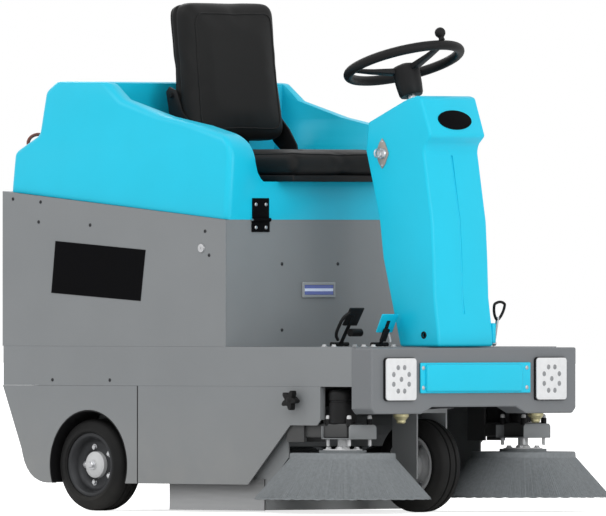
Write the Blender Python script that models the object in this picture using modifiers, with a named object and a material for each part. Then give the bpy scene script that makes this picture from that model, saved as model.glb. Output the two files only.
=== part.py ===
"""Ride-on sweeper. Metres, X forward, Y to the driver's left, +Z up.

The origin lies on the floor, under the middle of the machine's overall box.
"""
import math

import bmesh
import bpy
from mathutils import Matrix, Vector

# Fits and sheet thicknesses.
GAP = 0.0003
SHEET = 0.003
HOOD_WALL = 0.006
COVER_WALL = 0.005
SEGMENTS = 28

# Body.
HALF_WIDTH = 0.3725
REAR_X = -0.70
BOX_FRONT_X = 0.103
RAIL_FRONT_X = 0.55
BUMPER_X = 0.62
RAIL_LOW = 0.32
RAIL_TOP = 0.42
RAIL_WIDTH = 0.04
PANEL_TOP_REAR = 0.816
PANEL_TOP_FRONT = 0.742
PANEL_LOW = 0.071
SEAM_X = -0.211
FLOOR_PLATE = 0.006
DECK_PLATE = 0.006
INNER_HALF = HALF_WIDTH - SHEET

# Wheels.
REAR_WHEEL_X = -0.4025
REAR_WHEEL_R = 0.1175
REAR_WHEEL_Y = 0.315
REAR_TYRE_WIDTH = 0.09
REAR_RIM_R = 0.0812
STEER_X = 0.427
FRONT_WHEEL_R = 0.1185
FRONT_TYRE_WIDTH = 0.085
FRONT_RIM_R = 0.078
FORK_HALF = 0.0555
FORK_SHEET = 0.005
FORK_LENGTH = 0.086
CROWN_TOP = 0.262
KINGPIN_R = 0.015
SPROCKET_R = 0.028
SPROCKET_SHEET = 0.008
COLUMN_X = 0.50
COLUMN_R = 0.012
JOINT_BALL_R = 0.014
WHEEL_TILT = math.radians(18.0)
RIM_X = 0.3715
RIM_Z = 1.14
RIM_R = 0.145
WHEEL_REACH = (COLUMN_X - RIM_X) / math.sin(WHEEL_TILT)
JOINT_Z = RIM_Z - WHEEL_REACH * math.cos(WHEEL_TILT)
RIM_TUBE_R = 0.0125
KNOB_RISE = 0.033
KNOB_R = 0.0138

# Sweeping gear.
BRUSH_X = 0.06
BRUSH_Z = 0.131
BRUSH_R = 0.125
HOUSING_R = 0.135
PLATE_Y = 0.346
PLATE_SHEET = 0.004
MOTOR_LENGTH = 0.0654
SIDE_BRUSH_X = 0.475
SIDE_BRUSH_Y = 0.328
SIDE_BRUSH_R = 0.225
SIDE_BRUSH_LOW = 0.036
SKIRT_TOP = 0.1527
ARM_PIVOT_X = 0.345
ARM_LOW = 0.187
ARM_TOP = 0.2267
ARM_HALF = 0.032
CHEEK = 0.006
CHEEK_LOW = 0.18
HOPPER_HALF = 0.20
HOPPER_LOW = 0.10
LEDGE_Z = 0.262
BRACKET_Y = 0.258

# Hood and seat.
HOOD_REAR_X = -0.669
HOOD_TOP = 1.092
HINGE_R = 0.005
HINGE_X = BOX_FRONT_X + HINGE_R + 0.0005
HINGE_Y = 0.248
HINGE_WIDTH = 0.064
SEAT_WELL_HALF = 0.235
SEAT_WELL_X = -0.361
SEAT_WELL_Z = 0.839
SEAT_LEAN = math.radians(-6.5)
SEAT_BACK_X = -0.245
SEAT_BACK_Z = 0.949
BACK_THICKNESS = 0.09
BACK_WIDTH = 0.31
BACK_HEIGHT = 0.34
BRACKET_RISE = 0.0062
CUSHION_REAR_X = -0.2735
CUSHION_FRONT_X = 0.17
CUSHION_HALF = 0.195
CUSHION_TOP = 0.922
CONSOLE_HALF = 0.10

SIDES = (("right", -1.0), ("left", 1.0))
SURFACES = {
    "grey_paint": ((0.235, 0.247, 0.258), 0.45, 0.0),
    "light_grey": ((0.42, 0.43, 0.44), 0.5, 0.0),
    "turquoise": ((0.03, 0.60, 0.78), 0.35, 0.0),
    "black_plastic": ((0.012, 0.012, 0.013), 0.5, 0.0),
    "seat_cover": ((0.015, 0.015, 0.016), 0.6, 0.0),
    "tyre_rubber": ((0.01, 0.01, 0.01), 0.8, 0.0),
    "skirt_rubber": ((0.5, 0.5, 0.51), 0.7, 0.0),
    "steel": ((0.6, 0.6, 0.62), 0.3, 1.0),
    "bristle": ((0.16, 0.17, 0.18), 0.7, 0.0),
    "lamp": ((0.85, 0.85, 0.85), 0.25, 0.0),
}


def start_scene():
    """Remove what the scene holds and make the two collections."""
    for item in list(bpy.data.objects):
        bpy.data.objects.remove(item, do_unlink=True)
    found = {}
    for name in ("ride_on_sweeper", "cutters"):
        found[name] = bpy.data.collections.new(name)
        bpy.context.scene.collection.children.link(found[name])
    return found["ride_on_sweeper"], found["cutters"]


PARTS, CUTTERS = start_scene()


def surface(name):
    """The Principled material of a finish, made once."""
    if name in bpy.data.materials:
        return bpy.data.materials[name]
    colour, roughness, metallic = SURFACES[name]
    made = bpy.data.materials.new(name)
    made.use_nodes = True
    shader = made.node_tree.nodes["Principled BSDF"]
    shader.inputs["Base Color"].default_value = (*colour, 1.0)
    shader.inputs["Roughness"].default_value = roughness
    shader.inputs["Metallic"].default_value = metallic
    return made


def add(name, mesh, finish, matrix=None):
    """Put a mesh in the parts, or in the cutters when it has no finish."""
    item = bpy.data.objects.new(name, mesh)
    if finish is None:
        CUTTERS.objects.link(item)
        item.hide_render = True
        item.display_type = "WIRE"
    else:
        PARTS.objects.link(item)
        mesh.materials.clear()
        mesh.materials.append(surface(finish))
    if matrix is not None:
        item.matrix_world = matrix
    return item


def mesh_from(bm, name):
    """A mesh from a bmesh, with its faces pointing out."""
    bmesh.ops.recalc_face_normals(bm, faces=bm.faces)
    mesh = bpy.data.meshes.new(name)
    bm.to_mesh(mesh)
    bm.free()
    return mesh


def block(name, low, high, finish, matrix=None):
    """A box between two corners."""
    bm = bmesh.new()
    bmesh.ops.create_cube(bm, size=1.0)
    size = Vector(high) - Vector(low)
    bmesh.ops.scale(bm, vec=size, verts=bm.verts)
    bmesh.ops.translate(bm, vec=(Vector(high) + Vector(low)) / 2.0, verts=bm.verts)
    return add(name, mesh_from(bm, name), finish, matrix)


def prism(name, outline, plane, start, end, finish, matrix=None):
    """A flat outline in XZ, XY or YZ, given a thickness from start to end."""
    curve = bpy.data.curves.new(name, "CURVE")
    curve.dimensions = "2D"
    curve.fill_mode = "BOTH"
    curve.extrude = (end - start) / 2.0
    spline = curve.splines.new("POLY")
    spline.points.add(len(outline) - 1)
    for point, (across, up) in zip(spline.points, outline):
        point.co = (across, up, 0.0, 1.0)
    spline.use_cyclic_u = True
    guide = bpy.data.objects.new(name + "_outline", curve)
    CUTTERS.objects.link(guide)
    bpy.context.view_layer.update()
    flat = bpy.data.meshes.new_from_object(guide.evaluated_get(bpy.context.evaluated_depsgraph_get()))
    bpy.data.objects.remove(guide, do_unlink=True)
    bm = bmesh.new()
    bm.from_mesh(flat)
    bpy.data.meshes.remove(flat)
    bmesh.ops.remove_doubles(bm, verts=bm.verts, dist=1e-5)
    middle = (start + end) / 2.0
    if plane == "XZ":
        turn = Matrix.Translation((0.0, middle, 0.0)) @ Matrix.Rotation(math.pi / 2.0, 4, "X")
    elif plane == "XY":
        turn = Matrix.Translation((0.0, 0.0, middle))
    else:
        turn = Matrix(((0, 0, 1, middle), (1, 0, 0, 0), (0, 1, 0, 0), (0, 0, 0, 1)))
    bmesh.ops.transform(bm, matrix=turn, verts=bm.verts)
    return add(name, mesh_from(bm, name), finish, matrix)


def turned(name, profile, finish, matrix, closed=False, steps=SEGMENTS):
    """A turned shape; the profile runs down its outer side."""
    mesh = bpy.data.meshes.new(name)
    edges = [(i, i + 1) for i in range(len(profile) - 1)]
    if closed:
        edges.append((len(profile) - 1, 0))
    mesh.from_pydata([(radius, 0.0, height) for radius, height in profile], edges, [])
    item = add(name, mesh, finish, matrix)
    screw = item.modifiers.new("Turn", "SCREW")
    screw.steps = steps
    screw.render_steps = steps
    screw.use_merge_vertices = True
    screw.merge_threshold = 1e-5
    screw.use_smooth_shade = True
    return item


def along_y(x, y, z, outward=1.0):
    """A frame whose +Z axis lies along +Y, or along -Y when outward is -1."""
    return Matrix.Translation((x, y, z)) @ Matrix.Rotation(-outward * math.pi / 2.0, 4, "X")


def combine(item, tool, operation="DIFFERENCE"):
    """Cut or join an object with a tool, which goes to the cutters."""
    if tool.name in PARTS.objects:
        PARTS.objects.unlink(tool)
        CUTTERS.objects.link(tool)
        tool.hide_render = True
        tool.display_type = "WIRE"
    step = item.modifiers.new(operation.title(), "BOOLEAN")
    step.operation = operation
    step.solver = "EXACT"
    step.object = tool
    return item


def rounded(item, width, segments=2, angle=30.0):
    """Bevel an object's sharp edges."""
    bevel = item.modifiers.new("Bevel", "BEVEL")
    bevel.width = width
    bevel.segments = segments
    bevel.limit_method = "ANGLE"
    bevel.angle_limit = math.radians(angle)
    return item


def joint(name, place, pieces, parent=None):
    """An empty on a joint's axis that carries its pieces."""
    axis = bpy.data.objects.new(name, None)
    PARTS.objects.link(axis)
    axis.location = place
    bpy.context.view_layer.update()
    if parent is not None:
        axis.parent = parent
        axis.matrix_parent_inverse = parent.matrix_world.inverted()
        bpy.context.view_layer.update()
    for piece in pieces:
        piece.parent = axis
        piece.matrix_parent_inverse = axis.matrix_world.inverted()
    return axis


def arc(x, z, radius, first, last, count):
    """Points of an arc between two angles in degrees."""
    turns = [math.radians(first + (last - first) * i / (count - 1)) for i in range(count)]
    return [(x + radius * math.cos(turn), z + radius * math.sin(turn)) for turn in turns]


def inset(outline, depth):
    """A closed outline, anticlockwise, moved inwards with mitred corners."""
    moved = []
    for i, here in enumerate(outline):
        before = (Vector(here) - Vector(outline[i - 1])).normalized()
        after = (Vector(outline[(i + 1) % len(outline)]) - Vector(here)).normalized()
        inward = Vector((-before.y - after.y, before.x + after.x)).normalized()
        stretch = depth / max(0.3, inward.dot(Vector((-after.y, after.x))))
        moved.append(tuple(Vector(here) + inward * stretch))
    return moved


def panel_top(x):
    """Height of the side panels' sloping top edge."""
    share = (x - REAR_X) / (BOX_FRONT_X - REAR_X)
    return PANEL_TOP_REAR + (PANEL_TOP_FRONT - PANEL_TOP_REAR) * share


def make_frame():
    """Rails, the foot deck and the floor plate."""
    for side, sign in SIDES:
        edges = sorted((sign * (HALF_WIDTH - RAIL_WIDTH), sign * HALF_WIDTH))
        block(f"frame_rail_{side}", (REAR_X + SHEET + GAP, edges[0], RAIL_LOW),
              (RAIL_FRONT_X, edges[1], RAIL_TOP), "grey_paint")
    between = HALF_WIDTH - RAIL_WIDTH - GAP
    deck = block("foot_deck", (BOX_FRONT_X + GAP, -between, RAIL_TOP - DECK_PLATE),
                 (RAIL_FRONT_X - GAP, between, RAIL_TOP), "grey_paint")
    hole_r = COLUMN_R + GAP * 2
    hole = turned("deck_hole", [(0, 0.02), (hole_r, 0.02), (hole_r, -0.02), (0, -0.02)], None,
                  Matrix.Translation((COLUMN_X, 0.0, RAIL_TOP)))
    combine(deck, hole)
    floor = block("floor_plate", (REAR_X + SHEET + GAP, -INNER_HALF + GAP, RAIL_TOP + GAP),
                  (BOX_FRONT_X - SHEET - GAP, INNER_HALF - GAP, RAIL_TOP + GAP + FLOOR_PLATE), "grey_paint")
    duct = block("duct_hole", (-0.58, -0.18, RAIL_TOP - 0.02), (-0.38, 0.18, RAIL_TOP + 0.03), None)
    combine(floor, duct)


def make_body():
    """Upper panels round the battery box, and the rear panel."""
    for side, sign in SIDES:
        edges = sorted((sign * HALF_WIDTH, sign * INNER_HALF))
        outline = [(REAR_X, RAIL_TOP + GAP), (BOX_FRONT_X, RAIL_TOP + GAP),
                   (BOX_FRONT_X, PANEL_TOP_FRONT), (REAR_X, PANEL_TOP_REAR)]
        prism(f"side_panel_{side}", outline, "XZ", *edges, "grey_paint")
        make_wheel_panel(side, edges)
    inside = INNER_HALF - GAP
    block("seat_box_front", (BOX_FRONT_X - SHEET, -inside, RAIL_TOP + GAP),
          (BOX_FRONT_X, inside, PANEL_TOP_FRONT), "grey_paint")
    ledge_x = HOOD_REAR_X + 0.014
    outline = [(REAR_X, RAIL_LOW + GAP), (REAR_X + SHEET, RAIL_LOW + GAP),
               (REAR_X + SHEET, panel_top(REAR_X) - SHEET), (ledge_x, panel_top(ledge_x) - SHEET),
               (ledge_x, panel_top(ledge_x)), (REAR_X, PANEL_TOP_REAR)]
    prism("rear_panel", outline, "XZ", -inside, inside, "grey_paint")


def make_wheel_panel(side, edges):
    """Lower rear side panel with its wheel arch."""
    arch_x = REAR_WHEEL_X + 0.0125
    arch_r = REAR_WHEEL_R + 0.0225
    lift = math.degrees(math.asin((REAR_WHEEL_R - PANEL_LOW) / arch_r))
    arch = arc(arch_x, REAR_WHEEL_R, arch_r, 180.0 + lift, -lift, 15)
    seam = SEAM_X - GAP * 2
    outline = [(REAR_X, RAIL_LOW - GAP), (-0.633, 0.16), (-0.622, 0.125), (-0.600, 0.094), (-0.568, 0.076),
               (-0.540, PANEL_LOW)] + arch + [(seam, PANEL_LOW), (seam, RAIL_LOW - GAP)]
    prism(f"wheel_panel_{side}", outline, "XZ", *edges, "grey_paint")


def make_bumper():
    """Front bumper shell, its cover plate and the two lamps."""
    low, step = 0.251, 0.268
    half = [(0.152, step), (0.19, low), (0.360, low), (HALF_WIDTH, 0.264), (HALF_WIDTH, RAIL_TOP - 0.002)]
    outline = half + [(-y, z) for y, z in reversed(half)]
    bumper = prism("front_bumper", outline, "YZ", RAIL_FRONT_X + GAP, BUMPER_X, "grey_paint")
    rounded(bumper, 0.004, 2, 40.0)
    combine(bumper, prism("bumper_hollow", inset(outline, 0.004), "YZ", 0.5, BUMPER_X - 0.004, None))
    combine(bumper, block("bumper_rear_trim", (0.5, -0.4, 0.2), (RAIL_FRONT_X + GAP + 0.008, 0.4, 0.5), None))
    lip = prism("bumper_lip", outline, "YZ", RAIL_FRONT_X + GAP, RAIL_FRONT_X + 0.012, None)
    combine(lip, prism("lip_hollow", inset(outline, 0.004), "YZ", 0.5, 0.6, None))
    combine(bumper, lip, "UNION")
    lamp_z, lamp_half = 0.337, 0.052
    for side, sign in SIDES:
        y = sign * 0.27
        hole = lamp_half + GAP
        combine(bumper, block(f"lamp_hole_{side}", (0.57, y - hole, lamp_z - hole),
                              (0.65, y + hole, lamp_z + hole), None))
        block(f"headlight_{side}", (0.59, y - lamp_half, lamp_z - lamp_half),
              (BUMPER_X + 0.0015, y + lamp_half, lamp_z + lamp_half), "lamp")
    cover = block("bumper_cover", (BUMPER_X + GAP, -0.20, 0.306), (BUMPER_X + 0.012, 0.20, 0.377),
                  "turquoise")
    rounded(cover, 0.004, 2)


def make_console():
    """Hollow steering console that stands on the foot deck."""
    outline = [(0.473, 0.39), (0.466, 0.42), (0.404, 0.645), (0.386, 0.742), (0.352, 0.844), (0.331, 0.918),
               (0.339, 0.989), (0.475, 1.047), (0.512, 1.057), (0.530, 1.050), (0.5646, 0.954),
               (0.543, 0.933), (0.538, 0.913), (0.568, 0.737), (0.5735, 0.645), (0.577, 0.546),
               (0.590, 0.459), (0.592, 0.39)]
    outline.reverse()
    console = prism("steering_console", outline, "XZ", -CONSOLE_HALF, CONSOLE_HALF, "turquoise")
    rounded(console, 0.010, 2, 40.0)
    inner = CONSOLE_HALF - COVER_WALL
    combine(console, prism("console_hollow", inset(outline, COVER_WALL), "XZ", -inner, inner, None))
    combine(console, block("console_trim", (0.3, -0.2, 0.3), (0.7, 0.2, RAIL_TOP + GAP), None))
    hole_r = COLUMN_R + 0.005
    shaft_hole = turned("shaft_hole", [(0, WHEEL_REACH), (hole_r, WHEEL_REACH), (hole_r, 0.25), (0, 0.25)],
                        None, steering_axis(), steps=16)
    combine(console, shaft_hole)


def steering_axis():
    """Frame at the universal joint with +Z along the upper steering shaft."""
    return Matrix.Translation((COLUMN_X, 0.0, JOINT_Z)) @ Matrix.Rotation(-WHEEL_TILT, 4, "Y")


def make_steering():
    """Steering wheel, its spinner knob, the column, fork and front wheel."""
    frame = steering_axis()
    rim_frame = frame @ Matrix.Translation((0.0, 0.0, WHEEL_REACH))
    bpy.ops.mesh.primitive_torus_add(major_segments=36, minor_segments=8, major_radius=RIM_R,
                                     minor_radius=RIM_TUBE_R)
    rim = bpy.context.object
    mesh = rim.data
    bpy.data.objects.remove(rim, do_unlink=True)
    wheel = add("steering_wheel", mesh, "black_plastic", rim_frame)
    for turn in (0.0, 120.0, 240.0):
        angle = math.radians(turn)
        inner = Vector((0.015 * math.cos(angle), 0.015 * math.sin(angle), -0.024))
        outer = Vector((RIM_R * math.cos(angle), RIM_R * math.sin(angle), 0.0))
        run = outer - inner
        spoke_frame = rim_frame @ Matrix.Translation(inner) @ run.to_track_quat("Z", "Y").to_matrix().to_4x4()
        spoke = turned(f"spoke_{int(turn)}", [(0, run.length), (0.008, run.length), (0.010, 0), (0, 0)],
                       None, spoke_frame, steps=8)
        combine(wheel, spoke, "UNION")
    shaft_end = -WHEEL_REACH + JOINT_BALL_R + GAP
    hub = turned("hub", [(0, -0.010), (0.035, -0.010), (0.030, -0.088), (COLUMN_R, -0.088),
                         (COLUMN_R, shaft_end), (0, shaft_end)], None, rim_frame, steps=20)
    combine(wheel, hub, "UNION")
    knob_frame = rim_frame @ Matrix.Translation((RIM_R, 0.0, 0.0))
    base = RIM_TUBE_R + GAP
    ball = [(KNOB_R * math.sin(t), KNOB_RISE + KNOB_R * math.cos(t))
            for t in (math.pi * i / 8.0 for i in range(7))]
    knob = turned("spinner_knob", ball + [(0.005, KNOB_RISE - 0.0125), (0.005, base), (0, base)],
                  "black_plastic", knob_frame, steps=14)
    wheel_axis = joint("steering_wheel_axis", frame.translation, [wheel])
    joint("spinner_axis", knob_frame.translation, [knob], wheel_axis)

    legs = [(FORK_HALF, 0.085), (FORK_HALF, CROWN_TOP), (-FORK_HALF, CROWN_TOP), (-FORK_HALF, 0.085),
            (-FORK_HALF + FORK_SHEET, 0.085), (-FORK_HALF + FORK_SHEET, CROWN_TOP - 0.010),
            (FORK_HALF - FORK_SHEET, CROWN_TOP - 0.010), (FORK_HALF - FORK_SHEET, 0.085)]
    reach = FORK_LENGTH / 2.0
    fork = prism("front_fork", legs, "YZ", STEER_X - reach, STEER_X + reach, "grey_paint")
    head_top = RAIL_TOP - DECK_PLATE - GAP
    sprocket_top = CROWN_TOP + SPROCKET_SHEET
    pin = turned("kingpin", [(0, head_top), (KINGPIN_R, head_top), (KINGPIN_R, sprocket_top),
                             (SPROCKET_R, sprocket_top), (SPROCKET_R, CROWN_TOP - 0.002),
                             (0, CROWN_TOP - 0.002)],
                 None, Matrix.Translation((STEER_X, 0.0, 0.0)), steps=20)
    combine(fork, pin, "UNION")
    head_r = KINGPIN_R + GAP * 2
    turned("steering_head", [(0.032, head_top), (0.032, sprocket_top + GAP),
                             (head_r, sprocket_top + GAP), (head_r, head_top)],
           "grey_paint", Matrix.Translation((STEER_X, 0.0, 0.0)), closed=True)
    ball = [(JOINT_BALL_R * math.sin(t), JOINT_Z + JOINT_BALL_R * math.cos(t))
            for t in (math.pi * i / 8.0 for i in range(6))]
    column = turned("steering_column", ball + [(COLUMN_R, JOINT_Z - 0.02), (COLUMN_R, sprocket_top),
                                               (SPROCKET_R, sprocket_top), (SPROCKET_R, CROWN_TOP + GAP),
                                               (0, CROWN_TOP + GAP)],
                    "steel", Matrix.Translation((COLUMN_X, 0.0, 0.0)), steps=20)
    joint("column_axis", (COLUMN_X, 0.0, CROWN_TOP), [column])
    make_chain()
    hub_half = FORK_HALF - FORK_SHEET - GAP
    wheel_frame = along_y(STEER_X, 0.0, FRONT_WHEEL_R)
    tyre = make_tyre("front_tyre", FRONT_WHEEL_R, FRONT_RIM_R, FRONT_TYRE_WIDTH, wheel_frame)
    dish = [(0, hub_half), (0.022, hub_half), (0.026, 0.012), (0.058, 0.008), (0.066, 0.036),
            (FRONT_RIM_R, 0.038)]
    rim = turned("front_rim", dish + [(r, -z) for r, z in reversed(dish)], "steel", wheel_frame)
    fork_axis = joint("fork_axis", (STEER_X, 0.0, CROWN_TOP), [fork])
    joint("front_wheel_axis", wheel_frame.translation, [tyre, rim], fork_axis)


def make_chain():
    """Chain loop round the fork's and the column's sprockets."""
    low, high = CROWN_TOP + 0.001, CROWN_TOP + SPROCKET_SHEET - 0.001
    paths = [arc(COLUMN_X, 0.0, radius, -90.0, 90.0, 9) + arc(STEER_X, 0.0, radius, 90.0, 270.0, 9)
             for radius in (SPROCKET_R + 0.006, SPROCKET_R + GAP * 2)]
    chain = prism("steering_chain", paths[0], "XY", low, high, "steel")
    combine(chain, prism("chain_inside", paths[1], "XY", low - 0.01, high + 0.01, None))


def make_tyre(name, radius, rim_r, width, frame):
    """A solid tyre ring on its rim."""
    half = width / 2.0
    inner = rim_r + GAP * 2
    shoulder = [(inner, half - 0.006), (radius - 0.022, half), (radius - 0.007, half - 0.008),
                (radius, half - 0.022)]
    profile = shoulder + [(r, -z) for r, z in reversed(shoulder)]
    return turned(name, profile, "tyre_rubber", frame, closed=True, steps=32)


def make_rear_wheels():
    """Rear tyres and rims, and the brackets that carry them and the hopper."""
    hub_end = -(REAR_WHEEL_Y - BRACKET_Y - PLATE_SHEET - GAP)
    for side, sign in SIDES:
        frame = along_y(REAR_WHEEL_X, sign * REAR_WHEEL_Y, REAR_WHEEL_R, sign)
        tyre = make_tyre(f"rear_tyre_{side}", REAR_WHEEL_R, REAR_RIM_R, REAR_TYRE_WIDTH, frame)
        rim = turned(f"rear_rim_{side}", [(0, 0.024), (0.033, 0.024), (0.037, 0.010), (0.060, 0.006),
                                          (0.072, 0.036), (REAR_RIM_R, 0.038), (REAR_RIM_R, -0.038),
                                          (0.072, -0.036), (0.060, -0.006), (0.030, -0.008), (0.025, hub_end),
                                          (0, hub_end)], "steel", frame)
        joint(f"rear_wheel_axis_{side}", frame.translation, [tyre, rim])
        flange_low = RAIL_LOW - GAP - CHEEK
        outer = BRACKET_Y + PLATE_SHEET
        outline = [(HOPPER_HALF + GAP * 2, LEDGE_Z - 0.012), (BRACKET_Y, LEDGE_Z - 0.012), (BRACKET_Y, 0.085),
                   (outer, 0.085), (outer, flange_low), (INNER_HALF - GAP, flange_low),
                   (INNER_HALF - GAP, RAIL_LOW - GAP), (BRACKET_Y, RAIL_LOW - GAP), (BRACKET_Y, LEDGE_Z),
                   (HOPPER_HALF + GAP * 2, LEDGE_Z)]
        prism(f"wheel_bracket_{side}", [(sign * y, z) for y, z in outline], "YZ",
              REAR_WHEEL_X - 0.06, REAR_WHEEL_X + 0.06, "grey_paint")


def make_hopper():
    """Dust tray with its sloping rear plate and grip."""
    wall = PLATE_SHEET
    half = [(0.25, LEDGE_Z + GAP), (0.25, LEDGE_Z + GAP + wall), (HOPPER_HALF - wall, LEDGE_Z + GAP + wall),
            (HOPPER_HALF - wall, HOPPER_LOW + wall)]
    lower = [(-HOPPER_HALF, LEDGE_Z + GAP), (-HOPPER_HALF, HOPPER_LOW), (HOPPER_HALF, HOPPER_LOW),
             (HOPPER_HALF, LEDGE_Z + GAP)]
    outline = half + [(-y, z) for y, z in reversed(half)] + lower
    tray = prism("dust_hopper", outline, "YZ", -0.69, -0.13, "black_plastic")
    low_x, knee_x, top_x, top_z = -0.598, -0.633, REAR_X + SHEET, RAIL_LOW - 0.001
    combine(tray, prism("hopper_trim", [(-0.75, 0.05), (low_x, 0.05), (low_x, HOPPER_LOW), (knee_x, 0.16),
                                        (top_x, RAIL_LOW), (-0.75, RAIL_LOW)], "XZ", -0.4, 0.4, None))
    outline = [(low_x, HOPPER_LOW), (low_x + 0.005, HOPPER_LOW), (knee_x + 0.005, 0.161),
               (top_x + 0.005, top_z), (top_x, top_z), (knee_x, 0.16)]
    plate = prism("hopper_plate", outline, "XZ", -INNER_HALF + GAP, INNER_HALF - GAP, None)
    combine(tray, plate, "UNION")
    grip = prism("hopper_grip", [(-0.672, 0.238), (-0.660, 0.238), (-0.653, 0.226), (-0.672, 0.226)],
                 "XZ", -0.09, 0.09, None)
    combine(tray, grip, "UNION")
    joint("hopper_axis", (-0.4, 0.0, LEDGE_Z), [tray])


def make_main_brush():
    """Main brush, its motor, housing, end plates, flap and skirts."""
    frame = along_y(BRUSH_X, 0.0, BRUSH_Z)
    end = PLATE_Y - GAP
    motor_start = end - MOTOR_LENGTH
    brush_end = motor_start - GAP
    brush = turned("main_brush", [(0, brush_end), (0.03, brush_end), (0.03, brush_end - 0.005),
                                  (BRUSH_R, brush_end - 0.005), (BRUSH_R, -end + 0.010), (0.03, -end + 0.010),
                                  (0.03, -end), (0, -end)], "bristle", frame)
    joint("main_brush_axis", frame.translation, [brush])
    turned("main_brush_motor", [(0, end), (0.045, end), (0.045, motor_start), (0, motor_start)],
           "black_plastic", frame, steps=20)
    outer = arc(BRUSH_X, BRUSH_Z, HOUSING_R + SHEET, 15.0, 150.0, 12)
    inner = arc(BRUSH_X, BRUSH_Z, HOUSING_R, 150.0, 15.0, 12)
    chamber = prism("brush_chamber", outer + inner, "XZ", -PLATE_Y - 0.001, PLATE_Y + 0.001, "grey_paint")
    for side, sign in SIDES:
        edges = sorted((sign * PLATE_Y, sign * (PLATE_Y + PLATE_SHEET)))
        top = RAIL_LOW - GAP
        outline = [(-0.11, 0.06), (0.225, 0.06), (0.305, 0.14), (0.305, top), (-0.11, top)]
        combine(chamber, prism(f"end_plate_{side}", outline, "XZ", *edges, None), "UNION")
        near = PLATE_Y + PLATE_SHEET + GAP
        edges = sorted((sign * near, sign * (near + PLATE_SHEET)))
        block(f"side_skirt_{side}", (-0.116, edges[0], 0.005), (0.222, edges[1], 0.085), "skirt_rubber")
    block("front_flap", (0.214, -end, 0.004), (0.218, end, 0.12), "tyre_rubber")


def make_side_brushes():
    """Side brushes on their dropping arms."""
    for side, sign in SIDES:
        y = sign * SIDE_BRUSH_Y
        inner, outer = y - ARM_HALF - GAP, y + ARM_HALF + GAP
        top = RAIL_LOW - GAP
        outline = [(inner - CHEEK, top), (inner - CHEEK, CHEEK_LOW), (inner, CHEEK_LOW), (inner, top - CHEEK),
                   (outer, top - CHEEK), (outer, CHEEK_LOW), (outer + CHEEK, CHEEK_LOW), (outer + CHEEK, top)]
        prism(f"arm_bracket_{side}", outline, "YZ", ARM_PIVOT_X - 0.03, ARM_PIVOT_X + 0.03, "grey_paint")
        arm = block(f"side_brush_arm_{side}", (ARM_PIVOT_X - 0.015, y - ARM_HALF, ARM_LOW),
                    (SIDE_BRUSH_X + 0.045, y + ARM_HALF, ARM_TOP), "light_grey")
        frame = Matrix.Translation((SIDE_BRUSH_X, y, 0.0))
        motor = turned(f"side_brush_motor_{side}", [(0, 0.314), (0.028, 0.314), (0.0345, 0.304),
                                                    (0.0345, ARM_TOP + GAP), (0, ARM_TOP + GAP)],
                       "black_plastic", frame, steps=20)
        lip = SKIRT_TOP - 0.0147
        low = SIDE_BRUSH_LOW
        brush = turned(f"side_brush_{side}", [(0, ARM_LOW - GAP), (0.030, ARM_LOW - GAP), (0.030, 0.163),
                                              (0.060, 0.160), (0.060, SKIRT_TOP), (0.1325, SKIRT_TOP),
                                              (0.1345, lip), (SIDE_BRUSH_R, low), (SIDE_BRUSH_R - 0.02, low),
                                              (0.11, lip), (0, lip)], "bristle", frame, steps=32)
        arm_axis = joint(f"arm_axis_{side}", (ARM_PIVOT_X, y, 0.207), [arm, motor])
        joint(f"side_brush_axis_{side}", (SIDE_BRUSH_X, y, ARM_LOW), [brush], arm_axis)


def make_doors():
    """Brush doors, hinged at the rear seam, with their star knobs."""
    for side, sign in SIDES:
        edges = sorted((sign * HALF_WIDTH, sign * INNER_HALF))
        top = RAIL_LOW - GAP
        outline = [(SEAM_X, top), (SEAM_X, PANEL_LOW), (0.182, PANEL_LOW), (0.332, 0.222), (0.427, 0.222),
                   (0.439, 0.234), (0.439, top)]
        door = prism(f"brush_door_{side}", outline, "XZ", *edges, "grey_paint")
        knob = turned(f"door_knob_{side}", [(0, 0.028), (0.022, 0.028), (0.026, 0.022), (0.026, 0.012),
                                            (0.008, 0.010), (0.008, 0), (0, 0)], "black_plastic",
                      along_y(0.352, sign * (HALF_WIDTH + GAP), 0.286, sign), steps=16)
        hinge = joint(f"door_axis_{side}", (SEAM_X - GAP, sign * HALF_WIDTH, 0.2), [door])
        joint(f"knob_axis_{side}", (0.352, sign * HALF_WIDTH, 0.286), [knob], hinge)


def make_controls():
    """Pedals, lift lever and key."""
    for name, x, lean, reach, low, high, finish in (
            ("accelerator_pedal", 0.312, 58.0, 0.105, -0.20, -0.14, "black_plastic"),
            ("brake_pedal", 0.418, 64.0, 0.085, -0.165, -0.108, "turquoise")):
        z = RAIL_TOP + 0.0065
        turn = math.radians(lean)
        tip = (x + reach * math.cos(turn), z + reach * math.sin(turn))
        outline = arc(x, z, 0.006, lean + 90.0, lean + 270.0, 7)
        outline += arc(*tip, 0.004, lean - 90.0, lean + 90.0, 4)
        pedal = prism(name, outline, "XZ", low, high, finish)
        joint(name + "_axis", (x, (low + high) / 2.0, z), [pedal])
    ball = 0.008
    place = Vector((0.495, 0.20, RAIL_TOP + ball + GAP))
    foot = [(ball * math.cos(t), ball * math.sin(t)) for t in (math.pi * i / 8.0 for i in range(2, -5, -1))]
    lever = turned("brush_lift_lever", [(0, 0.112), (0.010, 0.110), (0.012, 0.100), (0.008, 0.090),
                                        (0.005, 0.086)] + foot, "black_plastic",
                   Matrix.Translation(place) @ Matrix.Rotation(math.radians(12.0), 4, "Y"), steps=12)
    joint("lift_lever_axis", place, [lever])
    key_y = -CONSOLE_HALF - GAP
    key = block("key", (0.389, key_y - 0.026, 0.897), (0.397, key_y, 0.923), "steel")
    joint("key_axis", (0.393, key_y, 0.91), [key])


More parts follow.
